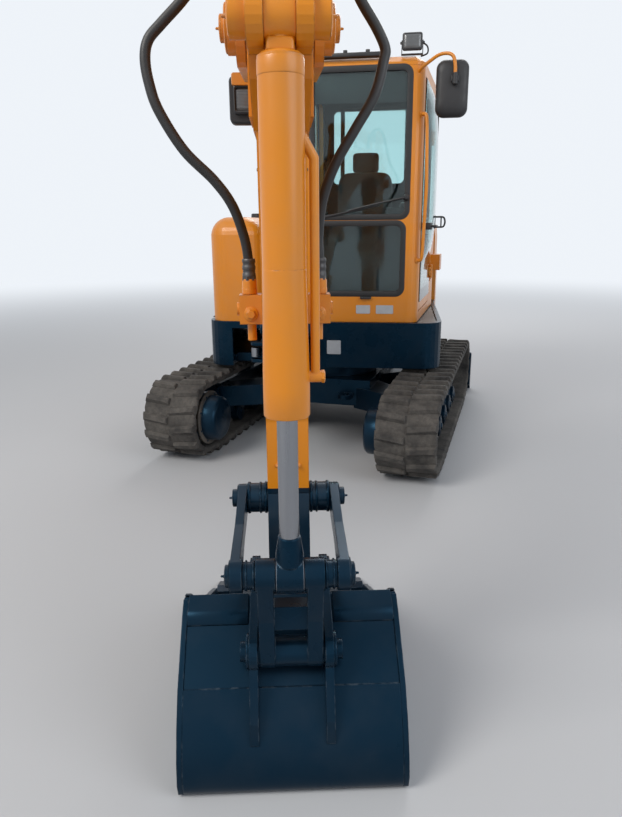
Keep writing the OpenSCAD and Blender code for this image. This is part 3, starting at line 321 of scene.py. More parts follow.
def smooth_line(points, steps):
    """A Catmull-Rom curve through the points."""
    pts = [Vector(p) for p in points]
    out = []
    for i in range(len(pts) - 1):
        a, b, c, d = pts[max(i - 1, 0)], pts[i], pts[i + 1], pts[min(i + 2, len(pts) - 1)]
        for k in range(steps):
            u = k / steps
            out.append(0.5 * (2 * b + (c - a) * u + (2 * a - 5 * b + 4 * c - d) * u * u
                              + (3 * b - a - 3 * c + d) * u ** 3))
    return out + [pts[-1]]


def soft_corners(points, r, steps):
    """A line whose corners are rounded with radius r."""
    pts = [Vector(p) for p in points]
    out = [pts[0]]
    for a, b, c in zip(pts, pts[1:], pts[2:]):
        p = b + (a - b).normalized() * min(r, (a - b).length * 0.49)
        q = b + (c - b).normalized() * min(r, (c - b).length * 0.49)
        out += [p.lerp(b, k / steps).lerp(b.lerp(q, k / steps), k / steps) for k in range(steps + 1)]
    return out + [pts[-1]]


def rounded_rect(x0, x1, z0, z1, r, n=6):
    corners = ((x1 - r, z1 - r, 0), (x0 + r, z1 - r, 90), (x0 + r, z0 + r, 180), (x1 - r, z0 + r, 270))
    turns = [(cx, cz, math.radians(a + 90 * k / n)) for cx, cz, a in corners for k in range(n + 1)]
    return [(cx + r * math.cos(a), cz + r * math.sin(a)) for cx, cz, a in turns]


def grown(rect, by):
    x0, x1, z0, z1 = rect
    return x0 - by, x1 + by, z0 - by, z1 + by


def turn(degrees):
    """Cosine and sine of an angle."""
    return math.cos(math.radians(degrees)), math.sin(math.radians(degrees))


def circle(n):
    return [turn(360 * k / n) for k in range(n)]


class Shape:
    """A mesh gathered in mm in one of the frames, then made a piece that rides on a body."""

    def __init__(self, base=UPPER):
        self.bm, self.base = bmesh.new(), base

    def box(self, lo, hi, cut=0.0, steps=2):
        made = bmesh.ops.create_cube(self.bm, size=1.0)["verts"]
        for v in made:
            v.co = Vector([l + (h - l) * (c + 0.5) for l, h, c in zip(lo, hi, v.co)])
        if cut:
            edges = list({e for v in made for e in v.link_edges})
            bmesh.ops.bevel(self.bm, geom=edges, offset=cut, segments=steps, profile=0.5, affect="EDGES")
        return self

    def rings(self, rings, caps=True):
        """Skins closed rings of points, all of one length; without caps, the last is joined to the first."""
        made = [[self.bm.verts.new(p) for p in ring] for ring in rings]
        for a, b in zip(made, made[1:] if caps else made[1:] + made[:1]):
            for i in range(len(a)):
                k = (i + 1) % len(a)
                self.bm.faces.new((a[i], a[k], b[k], b[i]))
        if caps:
            self.bm.faces.new(made[0][::-1])
            self.bm.faces.new(made[-1])
        return self

    def layers(self, axis, rows, closed=False):
        """Skins flat outlines of one length, each [points, height]; closed joins the last to the first.

        Axis x takes points [y, z], y takes [x, z] and z takes [x, y]."""
        def at(p, h):
            return {"x": (h, p[0], p[1]), "y": (p[0], h, p[1]), "z": (p[0], p[1], h)}[axis]
        return self.rings([[at(p, h) for p in outline] for outline, h in rows], not closed)

    def flat(self, outline, lo, hi, axis, cut=0.0):
        """An outline made solid between lo and hi, with its edges cut back."""
        if not cut:
            return self.layers(axis, ((outline, lo), (outline, hi)))
        mid = [sum(p[i] for p in outline) / len(outline) for i in (0, 1)]
        size = max(math.dist(p, mid) for p in outline)
        small = [[m + (c - m) * (1 - cut / size) for c, m in zip(p, mid)] for p in outline]
        step = cut if hi > lo else -cut
        return self.layers(axis, ((small, lo), (outline, lo + step), (outline, hi - step), (small, hi)))

    def hoop(self, outer, inner, lo, hi, axis, lip):
        """A flat ring between two outlines of one length; lip rounds its outer face."""
        mid = [[(a + b) / 2 for a, b in zip(p, q)] for p, q in zip(outer, inner)]
        edge = lo + lip
        return self.layers(axis, ((outer, hi), (outer, edge), (mid, lo), (inner, edge), (inner, hi)),
                           closed=True)

    def lathe(self, at, way, profile, n):
        """Rings of [distance along way, radius]."""
        z = Vector(way).normalized()
        x = z.orthogonal().normalized()
        y = z.cross(x)
        return self.rings([[Vector(at) + z * h + (x * c + y * s) * r for c, s in circle(n)]
                           for h, r in profile])

    def rod(self, p, q, r, n, cut=0.0):
        p, q = Vector(p), Vector(q)
        long = (q - p).length
        profile = [(0, r - cut), (cut, r), (long - cut, r), (long, r - cut)] if cut else [(0, r), (long, r)]
        return self.lathe(p, q - p, profile, n)

    def tube(self, points, r, n):
        pts = [Vector(p) for p in points]
        ways = [(pts[min(i + 1, len(pts) - 1)] - pts[max(i - 1, 0)]).normalized() for i in range(len(pts))]
        x = ways[0].orthogonal().normalized()
        rings = []
        for p, way in zip(pts, ways):
            x = (x - way * x.dot(way)).normalized()
            y = way.cross(x)
            rings.append([p + (x * c + y * s) * r for c, s in circle(n)])
        return self.rings(rings)

    def bent(self, points, bend, r, n=10, steps=5):
        """A tube whose bends have a radius."""
        return self.tube(soft_corners(points, bend, steps), r, n)

    def curved(self, points, steps, r, n=10):
        """A tube on a smooth curve, with so many steps between two points."""
        return self.tube(smooth_line(points, steps), r, n)

    def bolt(self, at, way, across, head, washer=True):
        """A hexagon head on a washer, standing on a surface at at."""
        at, way, r, thick = Vector(at), Vector(way).normalized(), across / math.sqrt(3), 2.5
        if washer:
            self.lathe(at, way, [(0, across * 0.72), (thick, across * 0.72)], 20)
            at += way * thick
        return self.lathe(at, way, [(0, r), (head - 1.5, r), (head, r * 0.86)], 6)

    def bolts(self, places, way, across, head):
        for at in places:
            self.bolt(at, way, across, head)
        return self

    def done(self, name, body, slot, mat=None, sharp=38, hides=()):
        """Makes the piece; mat names its material where that is another than the slot's."""
        bm = self.bm
        bm.transform(self.base)
        bmesh.ops.recalc_face_normals(bm, faces=bm.faces)
        for f in bm.faces:
            f.smooth = True
        for e in bm.edges:
            if len(e.link_faces) == 2 and e.calc_face_angle(0.0) > math.radians(sharp):
                e.smooth = False
        mesh = bpy.data.meshes.new(name)
        bm.to_mesh(mesh)
        bm.free()
        mesh.materials.append(MATS[mat or slot])
        obj = bpy.data.objects.new(name, mesh)
        bpy.context.scene.collection.objects.link(obj)
        if body:
            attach(obj, body)
        if hides:
            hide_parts(*hides)
        return obj


# Hoses over the arm pin; each point is [to the side, ahead, up], as in the CAD

HOSE_ROOT = [[60, 1980, 2225], [61, 1982, 2280], [76, 2010, 2345], [100, 2080, 2402], [125, 2180, 2425],
             [143, 2280, 2390], [158, 2350, 2305]]
HOSES = {
    "hose_right": [[-x, t, z] for x, t, z in HOSE_ROOT] + [
        [-178, 2390, 2215], [-208, 2408, 2145], [-249, 2420, 2090], [-304, 2430, 2034], [-339, 2436, 1995],
        [-350, 2440, 1950], [-343, 2444, 1890], [-322, 2447, 1824], [-262, 2446, 1726], [-186, 2436, 1650],
        [-140, 2424, 1584], [-113, 2408, 1504], [-103, 2401, 1440], [-101.8, 2400, 1380]],
    "hose_left": HOSE_ROOT + [
        [172, 2390, 2215], [188, 2408, 2145], [212, 2420, 2090], [252, 2432, 2024], [274, 2438, 1976],
        [271, 2440, 1945], [248, 2444, 1862], [196, 2446, 1776], [143, 2440, 1688], [110, 2424, 1597],
        [99, 2406, 1504], [101, 2401, 1440], [101.8, 2400, 1380]],
}


def make_hoses():
    for name, points in HOSES.items():
        line = smooth_line(points, 8)
        obj = Shape(FRONT).tube(line, 14, 16).done(name + "_cover", None, "hose_rubber", hides=[name])
        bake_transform(obj)


make_hoses()


def hose_ends():
    """Crimped ferrules at both ends of the two hoses, and swivel nuts and unions on the arm."""
    steel, orange, root = Shape(ARM), Shape(ARM), Shape(FRONT)
    ferrule = [(0, 17), (3, 19), (10, 19), (12, 17.5), (19, 17.5), (21, 19), (30, 19), (32, 17.5),
               (40, 17.5), (42, 19), (50, 19), (53, 15)]
    root_ferrule = [(0, 19), (16, 19), (17, 16), (22, 16), (23, 18.5), (44, 18.5), (48, 15)]
    for s in (-1, 1):
        x = s * 101.8
        steel.lathe((x, 0, 1440), -Z, ferrule, 24)
        steel.lathe((x, 0, 1392), -Z, [(0, 12), (6, 12)], 20)
        steel.lathe((x, 0, 1393), -Z, [(0, 17), (3, 20), (20, 20), (22, 17)], 6)
        orange.lathe((x, 0, 1384), -Z, [(0, 17), (2, 18), (26, 18), (28, 22), (44, 22)], 24)
        root.lathe((s * 60, 1980, 2222), Z, root_ferrule, 20)
    steel.done("hose_nuts", "arm", "black_metal", "fitting")
    orange.done("hose_unions", "arm", "orange_paint")
    root.done("hose_roots", "boom", "black_metal", "fitting")


# Cab

# Rubber round the panes, as [pane, reach out, reach in, outer radius, outer face, inner face, axis, lip]
SEALS = (
    ("window_seals", "upper", UPPER, (
        ((-95, 535, 1575, 2475), 14, 22, 62, -536, -508, "y", 5),
        ((-75, 515, 1075, 1545), 14, 22, 62, -536, -508, "y", 5),
        ((-80, 640, 1620, 2420), 14, 20, 62, 646, 618, "y", -5),
        ((-410, 520, 1500, 2440), 14, 20, 62, -196, -168, "x", 5))),
    ("door_seals", "cab_door", DOOR, (
        ((130, 740, 1560, 2360), 12, 18, 60, 5, -26, "x", -5),
        ((130, 740, 1080, 1480), 12, 18, 60, 5, -26, "x", -5))),
    ("quarter_seal", "upper", DOOR, (((880, 1110, 1560, 2420), 12, 18, 60, 5, -22, "x", -5),)),
)


def window_seals():
    for name, body, base, rows in SEALS:
        seal = Shape(base)
        for pane, out, into, r, face, back, axis, lip in rows:
            seal.hoop(rounded_rect(*grown(pane, out), r, 8), rounded_rect(*grown(pane, -into), 34, 8),
                      face, back, axis, lip)
        seal.done(name, body, "black_plastic", "seal")


def cab_front_trim():
    black = Shape()
    # Wiper with its arm, blade and motor cap
    black.curved([(522, -548, 1700), (400, -552, 1676), (230, -550, 1640), (150, -545, 1620)], 4, 6, 8)
    black.box((-14, -538, 1566), (-8, -534, 1568))
    black.tube([(-10, -537, 1581), (160, -541, 1616), (352, -537, 1655)], 7, 6)
    black.tube([(-10, -530, 1580), (160, -531, 1615), (352, -530, 1654)], 4, 6)
    black.lathe((524, -528, 1700), -Y, [(0, 24), (14, 22), (24, 16), (30, 9)], 24)
    # Strip on the roof's front edge, with its tabs
    black.box((-47, -538, 2536), (382, -478, 2562), 6)
    for x in (-10, 110, 250, 350):
        black.box((x, -530, 2558), (x + 26, -505, 2578), 4)
    # Catch under the upper window
    black.box((232, -548, 1046), (308, -530, 1062), 4)
    black.rod((246, -530, 1054), (246, -560, 1054), 8, 16, 2)
    # Dark band behind the top of the upper window
    black.box((-78, -504, 2275), (518, -498, 2470), 2)
    black.done("cab_front_trim", "upper", "black_plastic")
    plates = Shape()
    for x0, x1 in ((206, 302), (341, 458)):
        plates.flat(rounded_rect(x0, x1, 946, 1004, 7), -530.2, -532.4, "y", 0.6)
        for x in (x0 + 7, x1 - 7):
            plates.lathe((x, -532, 975), -Y, [(0, 3), (1.4, 2.2)], 12)
    plates.done("blank_plates", "upper", "orange_paint", "plate")
    plate = Shape().flat(rounded_rect(9, 105, 668, 764, 6), -560.2, -561.6, "y", 0.5)
    plate.done("skirt_plate", "upper", "navy_paint", "plate")


def mirror():
    arm = Shape()
    line = [(575, -500, 2440), (612, -590, 2462), (700, -640, 2512), (772, -668, 2504), (790, -674, 2450),
            (792, -674, 2372)]
    arm.bent(line, 40, 10.5, 12, 6)
    arm.lathe((580, -490, 2438), (-0.25, -0.9, 0.1), [(0, 24), (5, 24), (8, 15), (14, 14)], 24)
    arm.done("mirror_arm", "upper", "orange_paint")
    shell = Shape()
    mid_x, mid_z = 780, 2320
    face = rounded_rect(-97, 97, -162, 162, 52, 8)
    back = ((-590, 0.90), (-594, 0.985), (-606, 1.0), (-622, 0.985), (-638, 0.93), (-648, 0.84),
            (-654, 0.66), (-655.5, 0.3))
    shell.layers("y", [([(mid_x + x * k, mid_z + z * k) for x, z in face], y) for y, k in back])
    shell.lathe((792, -674, 2398), -Z, [(0, 13), (3, 17), (60, 17), (66, 12)], 20)
    shell.box((768, -676, 2348), (816, -640, 2384), 6)
    shell.done("mirror_shell", "upper", "black_plastic", hides=["side_mirror"])
    mirror_face = Shape().flat(rounded_rect(698, 862, 2174, 2466, 42, 8), -590.5, -587, "y", 1.5)
    mirror_face.done("mirror_glass", "upper", "chrome_rod", "mirror")


def cab_lamp():
    """A square work lamp: finned housing, lens with ribs, bracket and cable."""
    x, y, z, half_w, half_h = 535, -522, 2613, 61, 50

    def rows(inset, r, steps):
        outline = rounded_rect(*grown((-half_w, half_w, -half_h, half_h), -inset), r, 5)
        return [([(x + px * k, z + pz * k) for px, pz in outline], y + d) for d, k in steps]
    shell, lens, bracket = Shape(), Shape(), Shape()
    housing = ((0, 0.86), (3, 0.97), (7, 1.0), (20, 1.0), (40, 0.9), (56, 0.72), (64, 0.55))
    shell.layers("y", rows(0, 14, housing))
    lens.layers("y", rows(12, 8, ((4, 1.0), (-1, 1.0), (-3.5, 0.9), (-5, 0.6))))
    for i in range(-3, 4):
        shell.box((x + i * 11 - 1.5, y + 8, z - 38), (x + i * 11 + 1.5, y + 60, z + 42))
        lens.box((x + i * 10 - 1, y - 3, z - 30), (x + i * 10 + 1, y - 6, z + 30))
    shell.done("cab_lamp_shell", "upper", "black_plastic", hides=["cab_lamp"])
    lens.done("cab_lamp_lens", "upper", "clear_glass", "lens")
    bracket.box((468, -505, 2541), (602, -478, 2549), 2)
    for left, face, way in ((469, 469, -1), (597, 602, 1)):
        bracket.box((left, -512, 2545), (left + 5, -476, 2622), 2)
        bracket.bolt((face, -494, 2610), X * way, 13, 6)
    cable = [(560, -470, 2600), (590, -440, 2622), (628, -440, 2600), (630, -440, 2560), (590, -430, 2546)]
    bracket.curved(cable, 5, 5, 8)
    bracket.done("cab_lamp_bracket", "upper", "black_plastic")


def grab_rail():
    rail = Shape()
    c, s = turn(-40)
    cx, cy = 553.6, -460.0
    reach = ((71, 2200), (106, 2200), (114, 2150), (128, 1760), (112, 1345), (104, 1300), (71, 1300))
    rail.bent([(cx + r * c, cy + r * s, z) for r, z in reach], 34, 11, 14)
    for z in (1300, 2200):
        rail.lathe((cx + 70 * c, cy + 70 * s, z), (c, s, 0), [(0, 22), (4, 22), (6, 14)], 24)
    rail.done("grab_rail_tube", "upper", "orange_paint", hides=["grab_rail"])


hose_ends()
window_seals()
cab_front_trim()
mirror()
cab_lamp()
grab_rail()


# Cab inside

def cab_inside():
    """Dark lining, so that the paint shows only outside, and the controls."""
    lining = Shape()
    # Rear, side and front walls, as [wall, its radius, window, its radius, faces, axis]
    for wall, r, window, s, face, back, axis in (
            ((-132, 700, 945, 2470), 30, (-62, 505, 1850, 2415), 40, 584, 578, "y"),
            ((-470, 580, 945, 2470), 30, (-390, 500, 1520, 2420), 40, -134, -128, "x"),
            ((-134, 556, 945, 2474), 20, (-74, 514, 1596, 2450), 30, -474, -468, "y")):
        lining.hoop(rounded_rect(*wall, r), rounded_rect(*window, s), face, back, axis, 0.5)
    lining.box((-74, -476, 1546), (514, -466, 1574))
    lining.box((-132, -470, 2455), (552, 580, 2472), 4)
    lining.box((-132, -470, 945), (-74, -466, 1600))
    lining.done("cab_lining", "upper", "black_plastic", "lining")
    parts = Shape()
    # Bar up the rear window, monitor on its post, travel levers and pedals, panel in the front corner
    parts.rod((12, 600, 1630), (12, 600, 2410), 17, 14)
    parts.box((392, -452, 1500), (520, -418, 1640), 10, 3)
    parts.curved([(470, -430, 1240), (468, -438, 1380), (458, -436, 1505)], 5, 13)
    for x in (180, 262):
        parts.curved([(x, -330, 985), (x, -345, 1150), (x + 4, -352, 1330), (x + 8, -330, 1500)], 5, 9)
        parts.lathe((x + 8, -328, 1485), (0, 0.15, 1), [(0, 11), (8, 17), (60, 19), (92, 17), (104, 8)], 16)
        parts.box((x - 36, -420, 985), (x + 36, -300, 1001), 5)
    parts.box((-110, -455, 968), (-50, -430, 1500), 8)
    parts.done("cab_controls", "upper", "black_plastic", "lining")
    sticks = Shape()
    boot = [(0, 44), (10, 42), (26, 30), (40, 26), (56, 16), (70, 11), (110, 11)]
    grip = [(0, 13), (10, 19), (60, 22), (84, 27), (104, 27), (118, 18), (122, 6)]
    for x in (-75, 505):
        sticks.box((x - 46, -70, 1440), (x + 46, 300, 1466), 10, 3)
        sticks.lathe((x, -20, 1462), Z, boot, 20)
        sticks.lathe((x, -20, 1565), (0, -0.12, 1), grip, 20)
    sticks.done("joysticks", "upper", "black_plastic")


def cushion(name, lo, hi, crown, lean=0.0, channels=(), thick_axis=2):
    """A padded block: crowned faces, sides that pull in between the corners, sewn channels."""
    shape = Shape()
    bmesh.ops.create_cube(shape.bm, size=2.0)
    bmesh.ops.subdivide_edges(shape.bm, edges=shape.bm.edges[:], cuts=13, use_grid_fill=True)
    half = [(h - l) / 2 for l, h in zip(lo, hi)]
    mid = [(h + l) / 2 for l, h in zip(lo, hi)]
    t = thick_axis
    a, b = [i for i in range(3) if i != t]
    roundness, side_pull, seam_depth, seam_width = 6.0, 0.035, 9.0, 0.05
    for v in shape.bm.verts:
        # Round the block, then crown its broad faces and pull the sides in
        n = sum(abs(c) ** roundness for c in v.co) ** (1 / roundness)
        big = max(abs(c) for c in v.co)
        u = [c * big / n for c in v.co]
        swell = (1 - u[a] ** 2) * (1 - u[b] ** 2)
        u[t] *= 1 + crown * swell
        u[a] *= 1 - side_pull * (1 - u[b] ** 2) * (1 - swell)
        p = [m + c * h for m, c, h in zip(mid, u, half)]
        if abs(u[t]) > 0.6:
            for at in channels:
                p[t] -= math.copysign(seam_depth, u[t]) * math.exp(-((u[b] - at) / seam_width) ** 2)
        p[1] += lean * (p[2] - lo[2])
        v.co = p
    obj = shape.done(name, "upper", "seat_cloth", sharp=180)


def seat():
    base = Shape()
    base.box((20, 80, 968), (400, 460, 1000), 6)
    base.box((50, 110, 1000), (370, 430, 1120), 14, 3)
    for z in range(1010, 1110, 14):
        base.box((44, 104, z), (376, 436, z + 7), 3)
    base.box((10, 70, 1120), (410, 470, 1160), 12, 3)
    base.box((60, 482, 1180), (360, 508, 1860), 10, 3)
    for x in (-4, 398):
        base.box((x, 200, 1310), (x + 24, 470, 1345), 10, 3)
        base.box((x - 14, 110, 1345), (x + 38, 420, 1378), 14, 3)
    base.done("seat_frame", "upper", "black_plastic", "lining", hides=["seat"])
    cushion("seat_cushion", (-24, 50, 1160), (434, 480, 1290), 0.35, channels=(-0.35, 0.3))
    cushion("seat_back", (-18, 395, 1290), (424, 475, 1930), 0.5, lean=0.09, thick_axis=1,
            channels=(-0.3, 0.25))
    cushion("seat_head_rest", (100, 466, 1926), (310, 522, 2076), 0.4, thick_axis=1)


# Tracks

TRACK_GAUGE, TRACK_W, TUMBLERS, BELT_R, BELT_T, LUG_H = 1545.0, 370.0, 2020.0, 240.0, 42.0, 22.0
LUGS, END_LIFT, GROUND_HALF = 44, 23.0, 830.0
END_Z = BELT_R + LUG_H + END_LIFT
HALF = TUMBLERS / 2
RAMP = math.hypot(HALF - GROUND_HALF, END_LIFT)
ARC = math.pi * BELT_R
LOOP = TUMBLERS + 2 * ARC + 2 * GROUND_HALF + 2 * RAMP


def loop_at(s):
    """Place and outward way, in [along, up], at a length s along a track's outer face."""
    s = (s - HALF) % LOOP
    mirrored = s > LOOP / 2
    if mirrored:
        s = LOOP - s
    if s < HALF:
        p, out = Vector((s, END_Z + BELT_R)), Vector((0, 1))
    elif s < HALF + ARC:
        out = Vector(turn(90 - math.degrees((s - HALF) / BELT_R)))
        p = Vector((HALF, END_Z)) + out * BELT_R
    elif s < HALF + ARC + RAMP:
        fore = Vector((HALF, END_Z - BELT_R))
        slope = (Vector((GROUND_HALF, LUG_H)) - fore).normalized()
        p, out = fore + slope * (s - HALF - ARC), Vector((-slope.y, slope.x))
    else:
        p, out = Vector((LOOP / 2 - s, LUG_H)), Vector((0, -1))
    if mirrored:
        p.x, out.x = -p.x, -out.x
    return p, out


def track_rubber_piece():
    """Belts with wedge lugs that slant back from the centre seam, side notches and guide lugs inside."""
    shape = Shape(UNDER)
    pitch, steps, w = LOOP / LUGS, LUGS * 6, TRACK_W / 2
    section = [(-w + 7, -1), (w - 7, -1), (w, -8), (w, -BELT_T + 9), (w - 12, -BELT_T + 1),
               (-w + 12, -BELT_T + 1), (-w, -BELT_T + 9), (-w, -8)]
    # A lug's foot and crown, as [across, along], and a guide lug's outline
    foot = [(4, 0.0), (w - 1, 0.16), (w - 1, 0.60), (4, 0.40)]
    crown = [(8, 0.08), (w - 10, 0.24), (w - 8, 0.50), (8, 0.34)]
    top = [(12, 0.10), (w - 14, 0.26), (w - 12, 0.48), (12, 0.32)]
    guide = [(-13, -20), (13, -20), (13, 20), (-13, 20)]

    def at(v, s, h):
        p, out = loop_at(s)
        return (v, *(p + out * h))
    for mid in (-TRACK_GAUGE / 2, TRACK_GAUGE / 2):
        rings = []
        for i in range(steps):
            notch = 5 if i % 6 in (3, 4) else 0
            rings.append([at(mid + v - math.copysign(notch, v), i * LOOP / steps, h) for v, h in section])
        shape.rings(rings, caps=False)
        for i in range(LUGS):
            for half in (-1, 1):
                s = (i + (0.5 if half > 0 else 0.0)) * pitch + pitch * 0.02
                shape.rings([[at(mid + half * v, s + pitch * k, h) for v, k in outline]
                             for outline, h in ((foot, -4), (foot, 2), (crown, LUG_H * 0.86), (top, LUG_H))])
            for v in (-38, 38):
                shape.rings([[at(mid + v + dv * f, i * pitch + ds * f, -BELT_T + h) for dv, ds in guide]
                             for f, h in ((1.0, 2), (1.0, -4), (0.6, -26))])
    shape.done("track_belts", "undercarriage", "track_rubber", sharp=32, hides=["tracks"])


# Undercarriage

def hubs():
    """Final drives' covers on the front ends; hubs of the idlers and rollers; access plates."""
    dark, navy = Shape(UNDER), Shape(UNDER)
    drive = (-HALF, END_Z)
    motor_cap = [(0, 108), (10, 109), (13, 104), (14, 92), (19, 88), (22, 60), (24, 30), (30, 26), (32, 12)]
    outer_cap = [(0, 99), (8, 99), (11, 92), (11, 50), (16, 46), (20, 20)]
    drive_cover = [(0, 168), (14, 168), (18, 162), (19, 152), (88, 146), (104, 134), (110, 112), (111, 84),
                   (114, 80), (115, 20)]
    rim_ring = [(0, 170), (3, 180), (14, 180), (17, 176), (17, 166)]
    idler_hub = [(0, 74), (6, 74), (10, 66), (10, 40), (22, 36), (26, 20)]
    roller_cap = [(0, 60), (5, 60), (8, 50), (8, 26), (16, 24), (18, 10)]
    for side in (-1, 1):
        mid = side * TRACK_GAUGE / 2
        inner, outer = side * 522.5, mid + side * 146
        dark.lathe((inner + side * 8, *drive), -X * side, motor_cap, 40)
        dark.lathe((outer - side * 6, *drive), X * side, outer_cap, 40)
        navy.lathe((side * 602, *drive), -X * side, drive_cover, 48)
        dark.lathe((side * 600, *drive), -X * side, rim_ring, 48)
        # Bolts as [shape, across, way, circle, size, head, washer]
        rows = ((navy, side * 586, -side, 161, 13, 8, False),
                (dark, outer + side * 4, side, 72, 15, 8, True),
                (dark, mid + side * 66, side, 118, 15, 56, True))
        for k in range(8):
            c, s = turn(45 * k + 20)
            for shape, v, way, r, across, head, washer in rows:
                shape.bolt((v, -HALF + r * c, END_Z + r * s), X * way, across, head, washer)
        for e in (-1, 1):
            navy.lathe((mid + e * 50, HALF, END_Z), X * e, idler_hub, 32)
            for u in (-620, -310, 0, 310, 620):
                navy.lathe((mid + e * 103, u, 138.3), X * e, roller_cap, 28)
        face = mid + side * 79
        navy.box((face - 2, 330, 262), (face + 6, 480, 352), 3)
        navy.bolts([(face + side * 6, u, z) for u in (345, 465) for z in (277, 337)], X * side, 13, 6)
    dark.done("hub_caps", "undercarriage", "black_metal")
    navy.done("roller_caps", "undercarriage", "navy_paint")


def blade_trim():
    navy, steel = Shape(UNDER), Shape(UNDER)
    for i in range(13):
        steel.bolt((-900 + 150 * i, 1489, 34), Y, 22, 9)
    for v in (-330, 330):
        for e in (-1, 1):
            navy.flat([(1180, 225), (1425, 300), (1425, 90), (1180, 96)], v + e * 40, v + e * 52, "x")
        for u in (742, 1020):
            navy.tube([(v - 41, u + 200, 268), (v + 41, u + 200, 268)], 5, 8)
    for v in (-800, -560, 560, 800):
        navy.flat([(1440, 60), (1440, 330), (1405, 240), (1400, 110)], v - 7, v + 7, "x")
    navy.tube([(-955, 1462, 345), (955, 1462, 345)], 8, 10)
    navy.done("blade_trim", "blade", "navy_paint")
    steel.done("blade_bolts", "blade", "black_metal", "zinc")


def deck_cover():
    cover = Shape().flat(rounded_rect(-808, 758, -528, 668, 98), 864, 878, "z", 1)
    cover.done("deck_cover", "upper", "black_metal")


# Boom and arm

BOOM_LINE = [BOOM_FOOT, (560, 1700), (1250, 2250), ARM_PIN]


def boom_at(s, k=1.0, lift=0.0):
    """A point on the boom's outline, in [ahead, up]: k 1 its top, -1 its underside, 0 its middle."""
    pts = [Vector(p) for p in BOOM_LINE]
    c = (1 - s) ** 3 * pts[0] + 3 * s * (1 - s) ** 2 * pts[1] + 3 * s * s * (1 - s) * pts[2] + s ** 3 * pts[3]
    d = (1 - s) ** 2 * (pts[1] - pts[0]) + 2 * s * (1 - s) * (pts[2] - pts[1]) + s * s * (pts[3] - pts[2])
    if s < 0.45:
        half = 92 + 68 * math.sin(math.radians(90 * s / 0.45))
    else:
        half = 80 + 80 * math.cos(math.radians(90 * (s - 0.45) / 0.55))
    return c + Vector((-d.y, d.x)).normalized() * (k * half + lift)


def boom_pipes():
    pipes, clamps = Shape(FRONT), Shape(FRONT)
    # Pipes as [across, place on the outline, lift, first and last share of the boom]
    rows = ((86, 1.0, 9, 0.17, 0.855), (108, 0.62, 0, 0.20, 0.66), (108, 0.42, 0, 0.20, 0.66))
    for side in (-1, 1):
        for x, k, lift, first, last in rows:
            line = [(side * x, *boom_at(first + (last - first) * i / 26, k, lift)) for i in range(27)]
            if k == 1.0:
                line += [(side * 74, 1962, 2205), (side * 62, 1974, 2212)]
            else:
                end = boom_at(0.68, k)
                line += [(side * 96, *end)]
            pipes.tube(line, 8, 10)
        for sx in (0.27, 0.42, 0.56, 0.72):
            c, ahead = boom_at(sx), boom_at(sx + 0.012) - boom_at(sx)
            up = boom_at(sx, 1.0, 22) - c
            ring = [c - ahead * 1.2, c + ahead * 1.2, c + ahead * 1.2 + up, c - ahead * 1.2 + up]
            clamps.flat(ring, side * 72, side * 99, "x", 1.5)
            if sx < 0.6:
                p, q = boom_at(sx, 0.72), boom_at(sx, 0.32)
                w = (boom_at(sx + 0.01, 0.5) - boom_at(sx, 0.5)) * 1.3
                clamps.flat([p - w, p + w, q + w, q - w], side * 99, side * 120, "x", 1.5)
                m = (p + q) / 2
                clamps.bolt((side * 120, m.x, m.y), X * side, 15, 8)
    pipes.done("boom_pipes", "boom", "orange_paint")
    clamps.done("boom_clamps", "boom", "black_metal")


def boom_lamp():
    shell, hood, lens = Shape(FRONT), Shape(FRONT), Shape(FRONT)
    mid = -152
    shell.rings([[(mid + x * k, t, 2006 + z * k) for x, z in rounded_rect(-50, 46, -88, 84, 20, 6)]
                 for t, k in ((1450, 0.7), (1462, 0.92), (1480, 1.0), (1532, 1.0), (1541, 0.93))])
    shell.box((-112, 1466, 1968), (-100.3, 1526, 2052), 2)
    for z in (1985, 2035):
        shell.bolt((-112, 1496, z), -X, 15, 7)
    shell.hoop(rounded_rect(mid - 32, mid + 40, 1950, 2056, 12, 5),
               rounded_rect(mid - 24, mid + 32, 1962, 2044, 8, 5), 1562, 1536, "y", -3)
    hood.rings([[(mid + 2 + x * k, t, 2064 + z * k) for x, z in rounded_rect(-40, 40, -14, 33, 10, 5)]
                for t, k in ((1458, 0.85), (1466, 1.0), (1560, 1.0), (1566, 0.93))])
    lens.rings([[(mid + 4 + x * k, t, 2003 + z * k) for x, z in rounded_rect(-29, 29, -42, 42, 8, 5)]
                for t, k in ((1538, 1.0), (1549, 1.0), (1553, 0.9), (1555, 0.6))])
    for z in range(1972, 2036, 12):
        lens.box((mid - 22, 1552, z), (mid + 30, 1556, z + 3))
    shell.done("boom_lamp_shell", "boom", "black_plastic", hides=["boom_lamp"])
    hood.done("boom_lamp_hood", "boom", "orange_paint")
    lens.done("boom_lamp_lens", "boom", "clear_glass", "lens")


